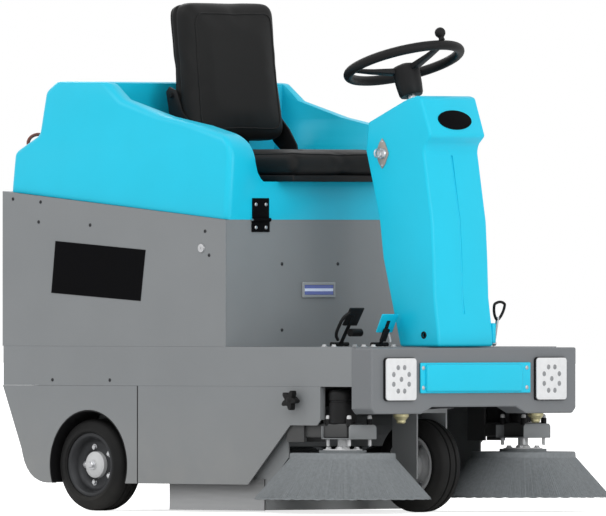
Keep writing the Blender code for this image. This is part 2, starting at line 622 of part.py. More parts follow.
def make_hood():
    """Tilting hood with its seat well, the seat on it, and its two hinges."""
    low = PANEL_TOP_FRONT - 0.05
    outline = [(HOOD_REAR_X, low), (HOOD_REAR_X, 0.83), (HOOD_REAR_X + 0.004, 0.915), (-0.584, 0.959),
               (-0.57, 1.068), (-0.533, HOOD_TOP), (SEAT_WELL_X, HOOD_TOP - 0.002), (-0.304, 1.049),
               (-0.147, 1.005), (-0.022, 0.982), (0.070, 0.957), (0.098, 0.930), (BOX_FRONT_X, 0.90),
               (BOX_FRONT_X, low)]
    outline.reverse()
    half = HALF_WIDTH - 0.001
    hood = prism("rear_hood", outline, "XZ", -half, half, "turquoise")
    rounded(narrowed(hood, half), 0.016, 2, 24.0)
    spread = [(0.0, 0.0), (0.022, 0.023), (0.034, 0.071), (0.050, 0.116), (0.066, 0.161), (0.070, 0.361)]
    flare = [(SEAT_WELL_HALF + out, SEAT_WELL_Z + up) for out, up in spread]
    well = flare + [(-y, z) for y, z in reversed(flare)]
    combine(hood, prism("seat_well", well, "YZ", SEAT_WELL_X, 0.2, None))
    inner = half - HOOD_WALL
    hollow = narrowed(prism("hood_hollow", inset(outline, HOOD_WALL), "XZ", -inner, inner, None), half)
    combine(hollow, prism("well_shell", inset(well, -HOOD_WALL), "YZ", SEAT_WELL_X - HOOD_WALL, 0.3, None))
    combine(hood, hollow)
    base = [(-0.8, panel_top(-0.8) + GAP), (-0.8, 0.5), (0.2, 0.5), (0.2, panel_top(0.2) + GAP)]
    combine(hood, prism("hood_base", base, "XZ", -0.5, 0.5, None))

    back_frame = Matrix.Translation((SEAT_BACK_X, 0.0, SEAT_BACK_Z)) @ Matrix.Rotation(SEAT_LEAN, 4, "Y")
    deep, wide = BACK_THICKNESS / 2.0, BACK_WIDTH / 2.0
    back = block("seat_back", (-deep, -wide, 0.0), (deep, wide, BACK_HEIGHT), "seat_cover", back_frame)
    foot = (SEAT_WELL_Z - SEAT_BACK_Z) / math.cos(SEAT_LEAN)
    bracket = block("seat_bracket", (-deep - GAP - 0.006, -0.11, foot + BRACKET_RISE),
                    (-deep - GAP, 0.11, 0.16), "black_plastic", back_frame)
    cushion = block("seat_cushion", (CUSHION_REAR_X, -CUSHION_HALF, SEAT_WELL_Z + GAP),
                    (CUSHION_FRONT_X, CUSHION_HALF, CUSHION_TOP), "seat_cover")
    rounded(back, 0.015)
    rounded(cushion, 0.015)
    joint("hood_axis", (HINGE_X, 0.0, PANEL_TOP_FRONT), [hood, back, bracket, cushion])
    for side, sign in SIDES:
        low_y, high_y = sorted((sign * HINGE_Y - HINGE_WIDTH / 2.0, sign * HINGE_Y + HINGE_WIDTH / 2.0))
        leaf = block(f"hood_hinge_{side}", (BOX_FRONT_X + GAP, low_y, 0.711),
                     (BOX_FRONT_X + GAP + SHEET, high_y, PANEL_TOP_FRONT - 0.002), "black_plastic")
        half_length = HINGE_WIDTH / 2.0 - 0.001
        barrel = turned(f"barrel_{side}", [(0, half_length), (HINGE_R, half_length), (HINGE_R, -half_length),
                                           (0, -half_length)], None,
                        along_y(HINGE_X, sign * HINGE_Y, PANEL_TOP_FRONT), steps=12)
        combine(leaf, barrel, "UNION")


def narrowed(item, half):
    """Draw an upright shape's sides in towards its top."""
    for vertex in item.data.vertices:
        share = (vertex.co.z - PANEL_TOP_FRONT) / 0.35
        vertex.co.y *= 1.0 - max(0.0, share) * 0.035 / half
    return item


def make_inside():
    """Battery pack, and the filter box with its fan, on the floor plate."""
    base = RAIL_TOP + FLOOR_PLATE + GAP * 2
    block("battery_pack", (-0.30, -0.26, base), (0.05, 0.26, 0.65), "black_plastic")
    unit = block("suction_unit", (-0.60, -0.20, base), (-0.36, 0.20, 0.50), "black_plastic")
    fan = turned("fan_housing", [(0, 0.60), (0.045, 0.60), (0.085, 0.58), (0.085, 0.49), (0, 0.49)], None,
                 Matrix.Translation((-0.48, 0.0, 0.0)), steps=20)
    combine(unit, fan, "UNION")


make_frame()
make_body()
make_bumper()
make_console()
make_steering()
make_rear_wheels()
make_hopper()
make_main_brush()
make_side_brushes()
make_doors()
make_controls()
make_hood()
make_inside()
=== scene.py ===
"""Looks of the ride-on sweeper: finishes, moulded covers, padded seat and fine parts.

Metres, X forward, Y to the driver's left, Z up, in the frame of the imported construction.
"""
import math
import random

import bmesh
import bpy
from mathutils import Matrix, Vector


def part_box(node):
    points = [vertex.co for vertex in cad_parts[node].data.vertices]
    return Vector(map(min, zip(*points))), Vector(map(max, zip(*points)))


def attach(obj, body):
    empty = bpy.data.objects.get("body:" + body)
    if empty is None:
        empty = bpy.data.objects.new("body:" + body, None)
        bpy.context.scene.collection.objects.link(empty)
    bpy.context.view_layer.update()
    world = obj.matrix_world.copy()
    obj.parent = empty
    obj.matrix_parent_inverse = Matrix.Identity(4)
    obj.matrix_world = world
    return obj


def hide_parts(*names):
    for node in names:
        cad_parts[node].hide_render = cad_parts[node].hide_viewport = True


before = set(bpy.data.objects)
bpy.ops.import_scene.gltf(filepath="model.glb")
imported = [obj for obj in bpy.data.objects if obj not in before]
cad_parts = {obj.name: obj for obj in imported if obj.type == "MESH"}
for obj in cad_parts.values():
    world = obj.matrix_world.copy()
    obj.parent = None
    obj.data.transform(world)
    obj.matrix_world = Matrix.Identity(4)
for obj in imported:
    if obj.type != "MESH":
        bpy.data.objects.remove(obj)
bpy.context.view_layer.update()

bl_info = {
    "name": "Ride-on Sweeper Looks",
    "version": (1, 0, 0),
    "blender": (4, 5, 0),
    "location": "View3D > Sidebar > Sweeper",
    "description": "Builds the finishes and fine pieces of a ride-on sweeper",
    "category": "Object",
}

SIDES = (("right", -1.0), ("left", 1.0))
FACE_Y = 0.3725                            # outside of the side panels
SEAT_BOX_X = 0.103                         # sheet below the seat
FRONT_AXLE = (0.427, 0.0, 0.1185)
REAR_AXLE_X, REAR_AXLE_Z = -0.4025, 0.1175
ARCH_X, ARCH_RADIUS = -0.390, 0.140        # rear wheel arches
BRUSH_X, BRUSH_Y = 0.475, 0.328            # side brush spindles
DOOR_SEAM_X = -0.2116                      # front edge of the rear wheel panels
PIVOT_Z = 0.4265                           # pedal pivots


# ---------------------------------------------------------------- settings

class SweeperColours(bpy.types.PropertyGroup):
    """Colours a user may change, as sRGB hex."""
    hood: bpy.props.StringProperty(name="Hood", description="Moulded cover colour", default="#12C3E2")
    body: bpy.props.StringProperty(name="Body", description="Powder coat on the body", default="#7F8284")
    # Bumper default: its own grey paint, darkened below the body grey as painted shade against the fill lamp on its
    # front
    bumper: bpy.props.StringProperty(name="Bumper", description="Powder coat on the bumper", default="#707376")
    bright: bpy.props.StringProperty(name="Gauge frame", description="Pale powder coat", default="#9A9D9F")
    bristle: bpy.props.StringProperty(name="Bristles", description="Side brush nylon", default="#74787B")
    seat: bpy.props.StringProperty(name="Seat", description="Seat vinyl", default="#151515")
    skirt: bpy.props.StringProperty(name="Skirt", description="Side skirt rubber", default="#929394")


class SweeperSizes(bpy.types.PropertyGroup):
    """Sizes a user may change, in metres."""
    screw: bpy.props.FloatProperty(name="Panel screw", description="Screw head radius", default=0.0045,
                                   unit="LENGTH")
    lug: bpy.props.FloatProperty(name="Lug nut", description="Lug nut radius", default=0.0062, unit="LENGTH")
    tuft: bpy.props.FloatProperty(name="Bristle", description="Bristle tuft radius", default=0.0011,
                                  unit="LENGTH")
    tufts: bpy.props.IntProperty(name="Tufts", description="Bristle tufts on a side brush", default=420)
    swell: bpy.props.FloatProperty(name="Swell", description="Most that seat foam rises", default=0.012,
                                   unit="LENGTH")


# ---------------------------------------------------------------- materials

def linear(code):
    """Linear colour of an sRGB hex value."""
    values = [int(code[i:i + 2], 16) / 255.0 for i in (1, 3, 5)]
    return (*[v / 12.92 if v <= 0.04045 else ((v + 0.055) / 1.055) ** 2.4 for v in values], 1.0)


def shade(code, factor):
    """A hex colour made lighter or darker."""
    values = [min(255, int(int(code[i:i + 2], 16) * factor)) for i in (1, 3, 5)]
    return "#" + "".join(f"{v:02X}" for v in values)


def add_node(tree, kind, links=None, **settings):
    """Add a node with its settings, input values and links."""
    item = tree.nodes.new(kind)
    for key, value in settings.items():
        setattr(item, key, value)
    for socket, value in (links or {}).items():
        if isinstance(value, bpy.types.NodeSocket):
            tree.links.new(value, item.inputs[socket])
        else:
            item.inputs[socket].default_value = value
    return item


class Finish:
    """A material in the making, textured by object coordinates."""

    def __init__(self, name, roughness, metallic=0.0, **sockets):
        self.material = bpy.data.materials.new(name)
        self.material.use_nodes = True
        self.tree = self.material.node_tree
        self.inputs = self.tree.nodes["Principled BSDF"].inputs
        for socket, value in {"Roughness": roughness, "Metallic": metallic, **sockets}.items():
            self.inputs[socket.replace("_", " ")].default_value = value
        self.place = self.node("TexCoord").outputs["Object"]

    def node(self, kind, links=None, **settings):
        """Add a shader node."""
        return add_node(self.tree, "ShaderNode" + kind, links, **settings)

    def noise(self, scale, detail, place=None):
        """Noise as a factor."""
        links = {"Vector": place or self.place, "Scale": scale, "Detail": detail}
        return self.node("TexNoise", links).outputs["Fac"]

    def stretched(self, scale):
        """Object coordinates scaled on each axis."""
        return self.node("Mapping", {"Vector": self.place, "Scale": scale}).outputs["Vector"]

    def height(self):
        """Height above the floor."""
        return self.node("SeparateXYZ", {"Vector": self.place}).outputs["Z"]

    def blend(self, factor, first, second):
        """Colour between two colours."""
        return self.node("Mix", {"Factor": factor, "A": first, "B": second}, data_type="RGBA").outputs["Result"]

    def mottled(self, code, size_mm, depth):
        """Colour that drifts a little lighter and darker over a surface."""
        return self.blend(self.noise(1000.0 / size_mm, 4.0), linear(shade(code, 1.0 - depth)),
                          linear(shade(code, 1.0 + depth)))

    def dusty(self, colour, top, strength):
        """Pale dust over a colour, fading out above a height."""
        fade = self.node("MapRange", {"Value": self.height(), "From Min": 0.0, "From Max": top,
                                      "To Min": strength, "To Max": 0.0}).outputs["Result"]
        amount = self.node("Math", {0: fade, 1: self.noise(14.0, 6.0)}, operation="MULTIPLY").outputs[0]
        return self.blend(amount, colour, linear("#A8A49C"))

    def set(self, socket, value):
        """Link a value to the shader."""
        self.tree.links.new(value, self.inputs[socket])

    def uneven_gloss(self, factor, low, high):
        """Roughness that runs from low to high with a factor."""
        rough = self.node("MapRange", {"Value": factor, "To Min": low, "To Max": high})
        self.set("Roughness", rough.outputs["Result"])

    def grained(self, size_mm, height_mm, cells=False):
        """Fine relief from noise or from cells, by its real size."""
        if cells:
            source = self.node("TexVoronoi", {"Vector": self.place, "Scale": 1000.0 / size_mm},
                               feature="DISTANCE_TO_EDGE").outputs["Distance"]
        else:
            source = self.noise(1000.0 / size_mm, 3.0)
        bump = self.node("Bump", {"Height": source, "Distance": height_mm / 1000.0, "Strength": 0.6})
        self.set("Normal", bump.outputs["Normal"])
        return self.material


def powder_coat(name, code, dust=0.35):
    """Powder-coated sheet steel: even, satin, with a fine orange peel."""
    made = Finish(name, 0.48, Specular_IOR_Level=0.4)
    made.set("Base Color", made.dusty(made.mottled(code, 160.0, 0.025), 0.30, dust))
    return made.grained(2.5, 0.05)


def moulded_cover(name, code):
    """Rotation-moulded polyethylene: waxy, with a soft pebble and slow waves in its gloss."""
    made = Finish(name, 0.42, Coat_Weight=0.06, Coat_Roughness=0.3, Specular_IOR_Level=0.3)
    made.set("Base Color", made.mottled(code, 120.0, 0.02))
    made.uneven_gloss(made.noise(6.0, 2.0), 0.32, 0.46)
    return made.grained(4.0, 0.10)


def moulded_black(name, code="#161617", roughness=0.5, size_mm=1.6):
    """Black ABS with a fine spark-eroded grain."""
    made = Finish(name, roughness, Specular_IOR_Level=0.22)
    made.set("Base Color", made.mottled(code, 60.0, 0.10))
    return made.grained(size_mm, 0.06)


def bare_plate(name, code):
    """Black enamelled plate: deep and even, with a faint waviness."""
    made = Finish(name, 0.7, Specular_IOR_Level=0.06)
    made.set("Base Color", made.mottled(code, 40.0, 0.15))
    return made.grained(6.0, 0.03)


def seat_vinyl(name, code):
    """Upholstery vinyl: small leather-like cells with a dull sheen."""
    made = Finish(name, 0.55, Sheen_Weight=0.03, Specular_IOR_Level=0.18)
    made.set("Base Color", made.mottled(code, 90.0, 0.08))
    return made.grained(3.2, 0.12, True)


def tyre_rubber(name, code):
    """Solid tyre rubber: matt, dusty near the floor, scuffed."""
    made = Finish(name, 0.72, Specular_IOR_Level=0.25)
    made.set("Base Color", made.dusty(made.mottled(code, 24.0, 0.18), 0.10, 0.10))
    return made.grained(3.0, 0.15)


def sheet_rubber(name, code):
    """Flat rubber sheet with drag marks."""
    made = Finish(name, 0.65)
    streak = made.noise(3.0, 5.0, made.stretched((4.0, 4.0, 40.0)))
    wiped = made.node("MapRange", {"Value": made.height(), "From Min": 0.075, "From Max": 0.010}).outputs[0]
    share = made.node("Math", {0: streak, 1: 0.3, 2: wiped}, operation="MULTIPLY_ADD").outputs[0]
    made.set("Base Color", made.blend(share, linear(shade(code, 0.62)), linear(shade(code, 1.08))))
    return made.grained(5.0, 0.1)


def bright_steel(name, code="#C9CACC", roughness=0.28, metallic=1.0):
    """Zinc-plated or turned steel with fine brush lines."""
    made = Finish(name, roughness, metallic)
    made.set("Base Color", made.mottled(code, 18.0, 0.08))
    scratch = made.noise(60.0, 4.0, made.stretched((1.0, 1.0, 18.0)))
    made.uneven_gloss(scratch, roughness - 0.08, roughness + 0.14)
    return made.material


def nylon_bristle(name, code):
    """Packed nylon bristles: lighter and darker from tuft to tuft."""
    made = Finish(name, 0.6)
    made.set("Base Color", made.blend(made.noise(130.0, 2.0), linear(shade(code, 0.86)),
                                      linear(shade(code, 1.10))))
    return made.grained(2.0, 0.15)


def lamp_lens(name):
    """White lamp reflector behind a clear lens: bright and glossy, faintly rippled."""
    made = Finish(name, 0.22, Coat_Weight=0.6, Coat_Roughness=0.05)
    made.set("Base Color", made.mottled("#DCDDDE", 14.0, 0.04))
    return made.grained(6.0, 0.1)


def lit_display(name):
    """Small blue display window with a pale bar across it."""
    made = Finish(name, 0.2, Coat_Weight=0.5)
    bar = made.node("Math", {0: made.height(), 1: 0.564, 2: 0.0035}, operation="COMPARE").outputs[0]
    made.set("Base Color", made.blend(bar, linear("#3F57A6"), linear("#DCE6FF")))
    return made.material


FINISHES = {}
SLOT_FINISHES = {
    "grey_paint": ("body",), "light_grey": ("dark", "arm_grey"), "turquoise": ("cover",),
    "black_plastic": ("black", "grip", "plate", "bright", "rust"), "seat_cover": ("seat",),
    "tyre_rubber": ("tyre", "flap"), "skirt_rubber": ("skirt",), "bristle": ("bristle",),
    "steel": ("silver", "dull", "steel", "dark_steel", "brass"), "lamp": ("lamp", "led", "display"),
}
SLOT_OF = {finish: slot for slot, finishes in SLOT_FINISHES.items() for finish in finishes}


def make_finishes(colours):
    """Every finish, by the name the pieces use."""
    FINISHES.update({
        "body": powder_coat("powder_coated_steel", colours.body),
        # bumper: real grey paint plus painted shade, darker than the body so the front lit head-on by the fill lamp
        # matches the rest
        "bumper": powder_coat("powder_coated_bumper", colours.bumper),
        "bright": powder_coat("pale_powder_coat", colours.bright),
        # dark: body grey taken down to near black as painted shade, for the arm parts that sit in shadow under the
        # deck
        "dark": powder_coat("dark_powder_coat", "#3A3B3C", 0.2),
        "cover": moulded_cover("rotomoulded_polyethylene", colours.hood),
        "black": moulded_black("black_abs"),
        "grip": moulded_black("soft_black_grip", "#111112", 0.55, 2.2),
        "plate": bare_plate("black_enamelled_plate", "#050507"),
        "seat": seat_vinyl("upholstery_vinyl", colours.seat),
        "tyre": tyre_rubber("tyre_rubber", "#161616"),
        "skirt": sheet_rubber("sheet_rubber", colours.skirt),
        "flap": sheet_rubber("dark_sheet_rubber", "#A2A3A4"),
        "silver": powder_coat("silver_wheel_enamel", "#CFD0D1", 0.1),
        "dull": bright_steel("dull_nickel", "#A29A94", 0.4, 0.6),
        "fork": powder_coat("mid_grey_enamel", "#96999B", 0.2),
        "steel": bright_steel("turned_steel"),
        "arm_grey": powder_coat("bracket_powder_coat", "#7D8082", 0.15),
        "dark_steel": bright_steel("blackened_steel", "#3A3B3D", 0.45, 0.7),
        "brass": bright_steel("yellow_zinc", "#B9B28C", 0.4, 0.7),
        "bristle": nylon_bristle("nylon_bristle", colours.bristle),
        "lamp": lamp_lens("lamp_lens"),
        "led": bright_steel("led_chip", "#8E9092", 0.3, 0.4),
        "display": lit_display("display_window"),
        "rust": moulded_black("brown_red_strap", "#7A4A40", 0.6, 2.0),
    })


# ---------------------------------------------------------------- shapes

def park(mesh, name="shape"):
    """Put a working mesh in the scene."""
    item = bpy.data.objects.new(name, mesh)
    bpy.context.scene.collection.objects.link(item)
    return item


def as_mesh(bm):
    """Hand over a bmesh as a mesh."""
    mesh = bpy.data.meshes.new("shape")
    bm.to_mesh(mesh)
    bm.free()
    return mesh


def evaluated(item):
    """The mesh of an object after its modifiers."""
    graph = bpy.context.evaluated_depsgraph_get()
    return bpy.data.meshes.new_from_object(item.evaluated_get(graph))


def closed_mesh(bm):
    """Weld a bmesh, point its faces out and hand over its mesh."""
    bmesh.ops.remove_doubles(bm, verts=bm.verts, dist=1e-6)
    bmesh.ops.recalc_face_normals(bm, faces=bm.faces)
    return as_mesh(bm)


def box(low, high, bevel=0.0, segments=3):
    """A box between two corners, with rounded edges."""
    bm = bmesh.new()
    bmesh.ops.create_cube(bm, size=1.0)
    bmesh.ops.scale(bm, vec=Vector(high) - Vector(low), verts=bm.verts)
    bmesh.ops.translate(bm, vec=(Vector(high) + Vector(low)) / 2.0, verts=bm.verts)
    return soften(park(closed_mesh(bm)), bevel, segments)


def soften(item, width, segments, angle=30.0):
    """Round an object's sharp edges."""
    if width > 0.0:
        bevel = item.modifiers.new("Bevel", "BEVEL")
        bevel.width = width
        bevel.segments = segments
        bevel.limit_method = "ANGLE"
        bevel.angle_limit = math.radians(angle)
        bevel.harden_normals = False
    return item


def prism(outline, plane, start, end, bevel=0.0, segments=3):
    """A flat outline in XZ, YZ or XY with a thickness."""
    curve = bpy.data.curves.new("outline", "CURVE")
    curve.dimensions = "2D"
    curve.fill_mode = "BOTH"
    curve.extrude = (end - start) / 2.0
    spline = curve.splines.new("POLY")
    spline.points.add(len(outline) - 1)
    for point, (across, up) in zip(spline.points, outline):
        point.co = (across, up, 0.0, 1.0)
    spline.use_cyclic_u = True
    guide = park(curve)
    bpy.context.view_layer.update()
    flat = evaluated(guide)
    bpy.data.objects.remove(guide, do_unlink=True)
    bm = bmesh.new()
    bm.from_mesh(flat)
    bmesh.ops.remove_doubles(bm, verts=bm.verts, dist=1e-5)
    middle = (start + end) / 2.0
    turns = {"XZ": Matrix.Translation((0.0, middle, 0.0)) @ Matrix.Rotation(math.pi / 2.0, 4, "X"),
             "YZ": Matrix(((0, 0, 1, middle), (1, 0, 0, 0), (0, 1, 0, 0), (0, 0, 0, 1))),
             "XY": Matrix.Translation((0.0, 0.0, middle))}
    bmesh.ops.transform(bm, matrix=turns[plane], verts=bm.verts)
    return soften(park(closed_mesh(bm)), bevel, segments)


def turned(profile, steps, closed=False, matrix=None):
    """A turned shape; the profile runs down its outer side."""
    mesh = bpy.data.meshes.new("profile")
    edges = [(i, i + 1) for i in range(len(profile) - 1)]
    if closed:
        edges.append((len(profile) - 1, 0))
    mesh.from_pydata([(radius, 0.0, height) for radius, height in profile], edges, [])
    item = park(mesh)
    screw = item.modifiers.new("Turn", "SCREW")
    screw.steps = steps
    screw.render_steps = steps
    screw.use_merge_vertices = True
    screw.merge_threshold = 1e-5
    if matrix is not None:
        item.matrix_world = matrix
    return item


def mirrored(profile):
    """A profile's upper half with its mirror image below."""
    return profile + [(radius, -height) for radius, height in reversed(profile)]


def round_bar(low, high, radius, steps, matrix):
    """A plain round bar along a matrix's Z axis."""
    return turned([(0, high), (radius, high), (radius, low), (0, low)], steps, matrix=matrix)


def tube(points, radius, closed=False):
    """A round bar bent smoothly through points."""
    curve = bpy.data.curves.new("bar", "CURVE")
    curve.dimensions = "3D"
    curve.bevel_depth = radius
    curve.bevel_resolution = 4
    curve.use_fill_caps = True
    curve.resolution_u = 8
    curve.render_resolution_u = 0
    spline = curve.splines.new("BEZIER")
    spline.bezier_points.add(len(points) - 1)
    for point, place in zip(spline.bezier_points, points):
        point.co = place
        point.handle_left_type = "AUTO"
        point.handle_right_type = "AUTO"
    spline.use_cyclic_u = closed
    return park(curve)


def ring(radius, thickness, matrix, major, minor):
    """A torus round its matrix's Z axis."""
    profile = [(radius + thickness * math.cos(t), thickness * math.sin(t))
               for t in (-2.0 * math.pi * i / minor for i in range(minor))]
    return turned(profile, major, True, matrix)


def along(place, direction):
    """A matrix at a place whose Z axis lies along a direction."""
    return Matrix.Translation(place) @ Vector(direction).to_track_quat("Z", "Y").to_matrix().to_4x4()


TOOLS = []


def combine(item, tool, operation="DIFFERENCE"):
    """Cut or join with a working tool, removed once the piece is finished."""
    step = item.modifiers.new("Shape", "BOOLEAN")
    step.operation = operation
    step.solver = "EXACT"
    step.object = tool
    tool.hide_render = True
    TOOLS.append(tool)
    return item


def flatten(shapes):
    """One welded mesh of the evaluated shapes, in world place."""
    bpy.context.view_layer.update()
    graph = bpy.context.evaluated_depsgraph_get()
    bm = bmesh.new()
    for shape in shapes:
        mesh = bpy.data.meshes.new_from_object(shape.evaluated_get(graph))
        mesh.transform(shape.matrix_world)
        bm.from_mesh(mesh)
        bpy.data.meshes.remove(mesh)
    for shape in list(shapes) + TOOLS:
        bpy.data.objects.remove(shape, do_unlink=True)
    TOOLS.clear()
    bmesh.ops.remove_doubles(bm, verts=bm.verts, dist=1e-6)
    return as_mesh(bm)


def finish_piece(name, shapes, finish, body, replaces=(), angle=32.0, slot=None):
    """Turn working shapes into one finished piece on a body."""
    shapes = shapes if isinstance(shapes, (list, tuple)) else [shapes]
    return declare(name, flatten(shapes), finish, body, replaces, angle, slot)


def declare(name, mesh, finish, body, replaces, angle, slot=None):
    """Link a finished mesh, give it its finish and say what it rides on."""
    mesh.name = name
    slot = slot or SLOT_OF[finish]
    mesh.materials.clear()
    mesh.materials.append(FINISHES[finish])
    mesh.shade_smooth()
    mesh.set_sharp_from_angle(angle=math.radians(angle))
    piece = bpy.data.objects.new(name, mesh)
    bpy.context.scene.collection.objects.link(piece)
    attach(piece, body)
    if replaces:
        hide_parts(*replaces)
    return piece


def arc(x, z, radius, first, last, count):
    """Points of an arc between two angles in degrees."""
    turns = [math.radians(first + (last - first) * i / (count - 1)) for i in range(count)]
    return [(x + radius * math.cos(turn), z + radius * math.sin(turn)) for turn in turns]


def span(sign, inner, outer):
    """Two distances out from the middle on one side, as Y with the lower first."""
    return sorted((sign * inner, sign * outer))


def on_circle(centre, direction, across, up, count, start):
    """Places round a centre, with the direction of one axis, which they lie square to."""
    first, second = [i for i in range(3) if not direction[i]]
    spots = []
    for i in range(count):
        turn = 2.0 * math.pi * (i + start) / count
        place = list(centre)
        place[first] += across * math.cos(turn)
        place[second] += up * math.sin(turn)
        spots.append((tuple(place), direction))
    return spots


def inset(outline, depth):
    """A closed outline, anticlockwise, moved inwards with mitred corners."""
    moved = []
    for i, here in enumerate(outline):
        before = (Vector(here) - Vector(outline[i - 1])).normalized()
        after = (Vector(outline[(i + 1) % len(outline)]) - Vector(here)).normalized()
        inward = Vector((-before.y - after.y, before.x + after.x)).normalized()
        stretch = depth / max(0.3, inward.dot(Vector((-after.y, after.x))))
        moved.append(tuple(Vector(here) + inward * stretch))
    return moved


# ---------------------------------------------------------------- repeats

def repeat_tree():
    """Geometry nodes that set a part on each point, turned along its aim."""
    if "repeat_on_points" in bpy.data.node_groups:
        return bpy.data.node_groups["repeat_on_points"]
    tree = bpy.data.node_groups.new("repeat_on_points", "GeometryNodeTree")
    for name, kind in (("Geometry", "Geometry"), ("Part", "Object"), ("Finish", "Material"), ("Smallest", "Float"),
                       ("Largest", "Float"), ("Seed", "Int")):
        tree.interface.new_socket(name, in_out="INPUT", socket_type=f"NodeSocket{kind}")
    tree.interface.new_socket("Geometry", in_out="OUTPUT", socket_type="NodeSocketGeometry")
    given = add_node(tree, "NodeGroupInput")
    aim = add_node(tree, "GeometryNodeInputNamedAttribute", {"Name": "aim"}, data_type="FLOAT_VECTOR")
    turn = add_node(tree, "FunctionNodeAlignRotationToVector", {"Vector": aim.outputs["Attribute"]}, axis="Z")
    size = add_node(tree, "FunctionNodeRandomValue", {2: given.outputs["Smallest"], 3: given.outputs["Largest"],
                                                      "Seed": given.outputs["Seed"]}, data_type="FLOAT")
    part = add_node(tree, "GeometryNodeObjectInfo", {"Object": given.outputs["Part"]})
    placed = add_node(tree, "GeometryNodeInstanceOnPoints",
                      {"Points": given.outputs["Geometry"], "Instance": part.outputs["Geometry"],
                       "Rotation": turn.outputs["Rotation"], "Scale": size.outputs[1]})
    real = add_node(tree, "GeometryNodeRealizeInstances", {"Geometry": placed.outputs["Instances"]})
    done = add_node(tree, "GeometryNodeSetMaterial", {"Geometry": real.outputs["Geometry"],
                                                      "Material": given.outputs["Finish"]})
    add_node(tree, "NodeGroupOutput", {"Geometry": done.outputs["Geometry"]})
    return tree


def repeat(name, part, spots, finish, body, sizes=(1.0, 1.0), seed=7, angle=32.0):
    """Set a part at each (place, direction), as one piece."""
    part = park(flatten([part]), "part")
    points = bpy.data.meshes.new("points")
    points.from_pydata([tuple(place) for place, _ in spots], [], [])
    aims = points.attributes.new("aim", "FLOAT_VECTOR", "POINT")
    for item, (_, direction) in zip(aims.data, spots):
        item.vector = direction
    holder = park(points, "holder")
    step = holder.modifiers.new("Repeat", "NODES")
    step.node_group = repeat_tree()
    values = {"Part": part, "Finish": FINISHES[finish], "Smallest": sizes[0], "Largest": sizes[1], "Seed": seed}
    for item in step.node_group.interface.items_tree:
        if item.in_out == "INPUT" and item.name in values:
            step[item.identifier] = values[item.name]
    bpy.context.view_layer.update()
    mesh = evaluated(holder)
    for item in (holder, part):
        bpy.data.objects.remove(item, do_unlink=True)
    return declare(name, mesh, finish, body, (), angle)


def pan_screw(radius):
    """Domed screw head with a cross recess, standing on Z."""
    head = turned([(0, radius * 0.55), (radius * 0.6, radius * 0.48), (radius, radius * 0.12), (radius, 0), (0, 0)],
                  14)
    for size in ((0.18, 0.62), (0.62, 0.18)):
        combine(head, box((-radius * size[0], -radius * size[1], radius * 0.25),
                          (radius * size[0], radius * size[1], radius)))
    return head


def hex_bolt(radius):
    """Hexagon head on a washer, standing on Z."""
    washer = turned([(0, radius * 0.3), (radius * 1.35, radius * 0.3), (radius * 1.35, 0), (0, 0)], 20)
    head = turned([(0, radius), (radius * 0.85, radius), (radius, radius * 0.85), (radius, radius * 0.2),
                   (0, radius * 0.2)], 6)
    return combine(washer, head, "UNION")


# ---------------------------------------------------------------- soft pieces

PAD_GRID = 0.006       # mesh size of a pad
SWELL_FRAMES = 20      # frames of cloth pressure
SWELL_SHARE = 0.5      # share of the cloth's move that a pad keeps


def pad(name, low, high, matrix, radius, replaces, crown, seams):
    """A stuffed pad: a rounded block, crowned, swelled with cloth pressure, calmed, then given its seams."""
    swell = bpy.context.scene.sweeper_sizes.swell
    start = box([a + swell * 0.25 for a in low], [b - swell * 0.25 for b in high], radius, 6)
    item = park(flatten([start]), name)
    item.modifiers.new("Even", "REMESH").mode = "VOXEL"
    item.modifiers["Even"].voxel_size = PAD_GRID
    even = evaluated(item)
    item.modifiers.clear()
    item.data = even
    middle = [(a + b) / 2.0 for a, b in zip(low, high)]
    half = [(b - a) / 2.0 for a, b in zip(low, high)]
    for vertex in even.vertices:
        share = [(vertex.co[i] - middle[i]) / half[i] for i in range(3)]
        crown(vertex, share)
    before = [vertex.co.copy() for vertex in even.vertices]
    cloth = item.modifiers.new("Swell", "CLOTH")
    cloth.settings.use_pressure = True
    cloth.settings.uniform_pressure_force = 3.0
    cloth.settings.bending_stiffness = 8.0
    cloth.settings.shrink_min = -0.02
    cloth.settings.effector_weights.gravity = 0.0
    cloth.point_cache.frame_start = 1
    cloth.point_cache.frame_end = SWELL_FRAMES
    for number in range(1, SWELL_FRAMES + 1):
        bpy.context.scene.frame_set(number)
    swelled = evaluated(item)
    item.modifiers.clear()
    bpy.context.scene.frame_set(1)
    for vertex, first in zip(swelled.vertices, before):
        move = vertex.co - first
        vertex.co = first + move * min(SWELL_SHARE, swell / max(move.length, 1e-6))
    item.data = swelled
    fill_space(item.data, low, high)
    step = item.modifiers.new("Smooth", "SUBSURF")
    step.levels = 1
    step.render_levels = 1
    smooth = evaluated(item)
    item.modifiers.clear()
    for vertex in smooth.vertices:
        seams(vertex)
    smooth.transform(matrix)
    bpy.data.objects.remove(item, do_unlink=True)
    piece = declare(name, smooth, "seat", "hood", replaces, 60.0)
    return piece


def fill_space(mesh, low, high):
    """Calm a pad's wrinkles and stretch it to just fill its space."""
    bm = bmesh.new()
    bm.from_mesh(mesh)
    for _ in range(10):
        bmesh.ops.smooth_vert(bm, verts=bm.verts, factor=0.5, use_axis_x=True, use_axis_y=True, use_axis_z=True)
    for i in range(3):
        least = min(vertex.co[i] for vertex in bm.verts)
        most = max(vertex.co[i] for vertex in bm.verts)
        for vertex in bm.verts:
            vertex.co[i] = low[i] + (vertex.co[i] - least) * (high[i] - low[i]) / (most - least)
    bm.to_mesh(mesh)
    bm.free()


def piping(name, points, target, matrix):
    """A thin welt that lies on the nearest surface of a pad."""
    found = []
    for point in points:
        place = matrix @ Vector(point)
        hit, where, _, _ = target.closest_point_on_mesh(place)
        found.append(where if hit else place)
    return finish_piece(name, tube(found, 0.0022, True), "seat", "hood", angle=60.0)


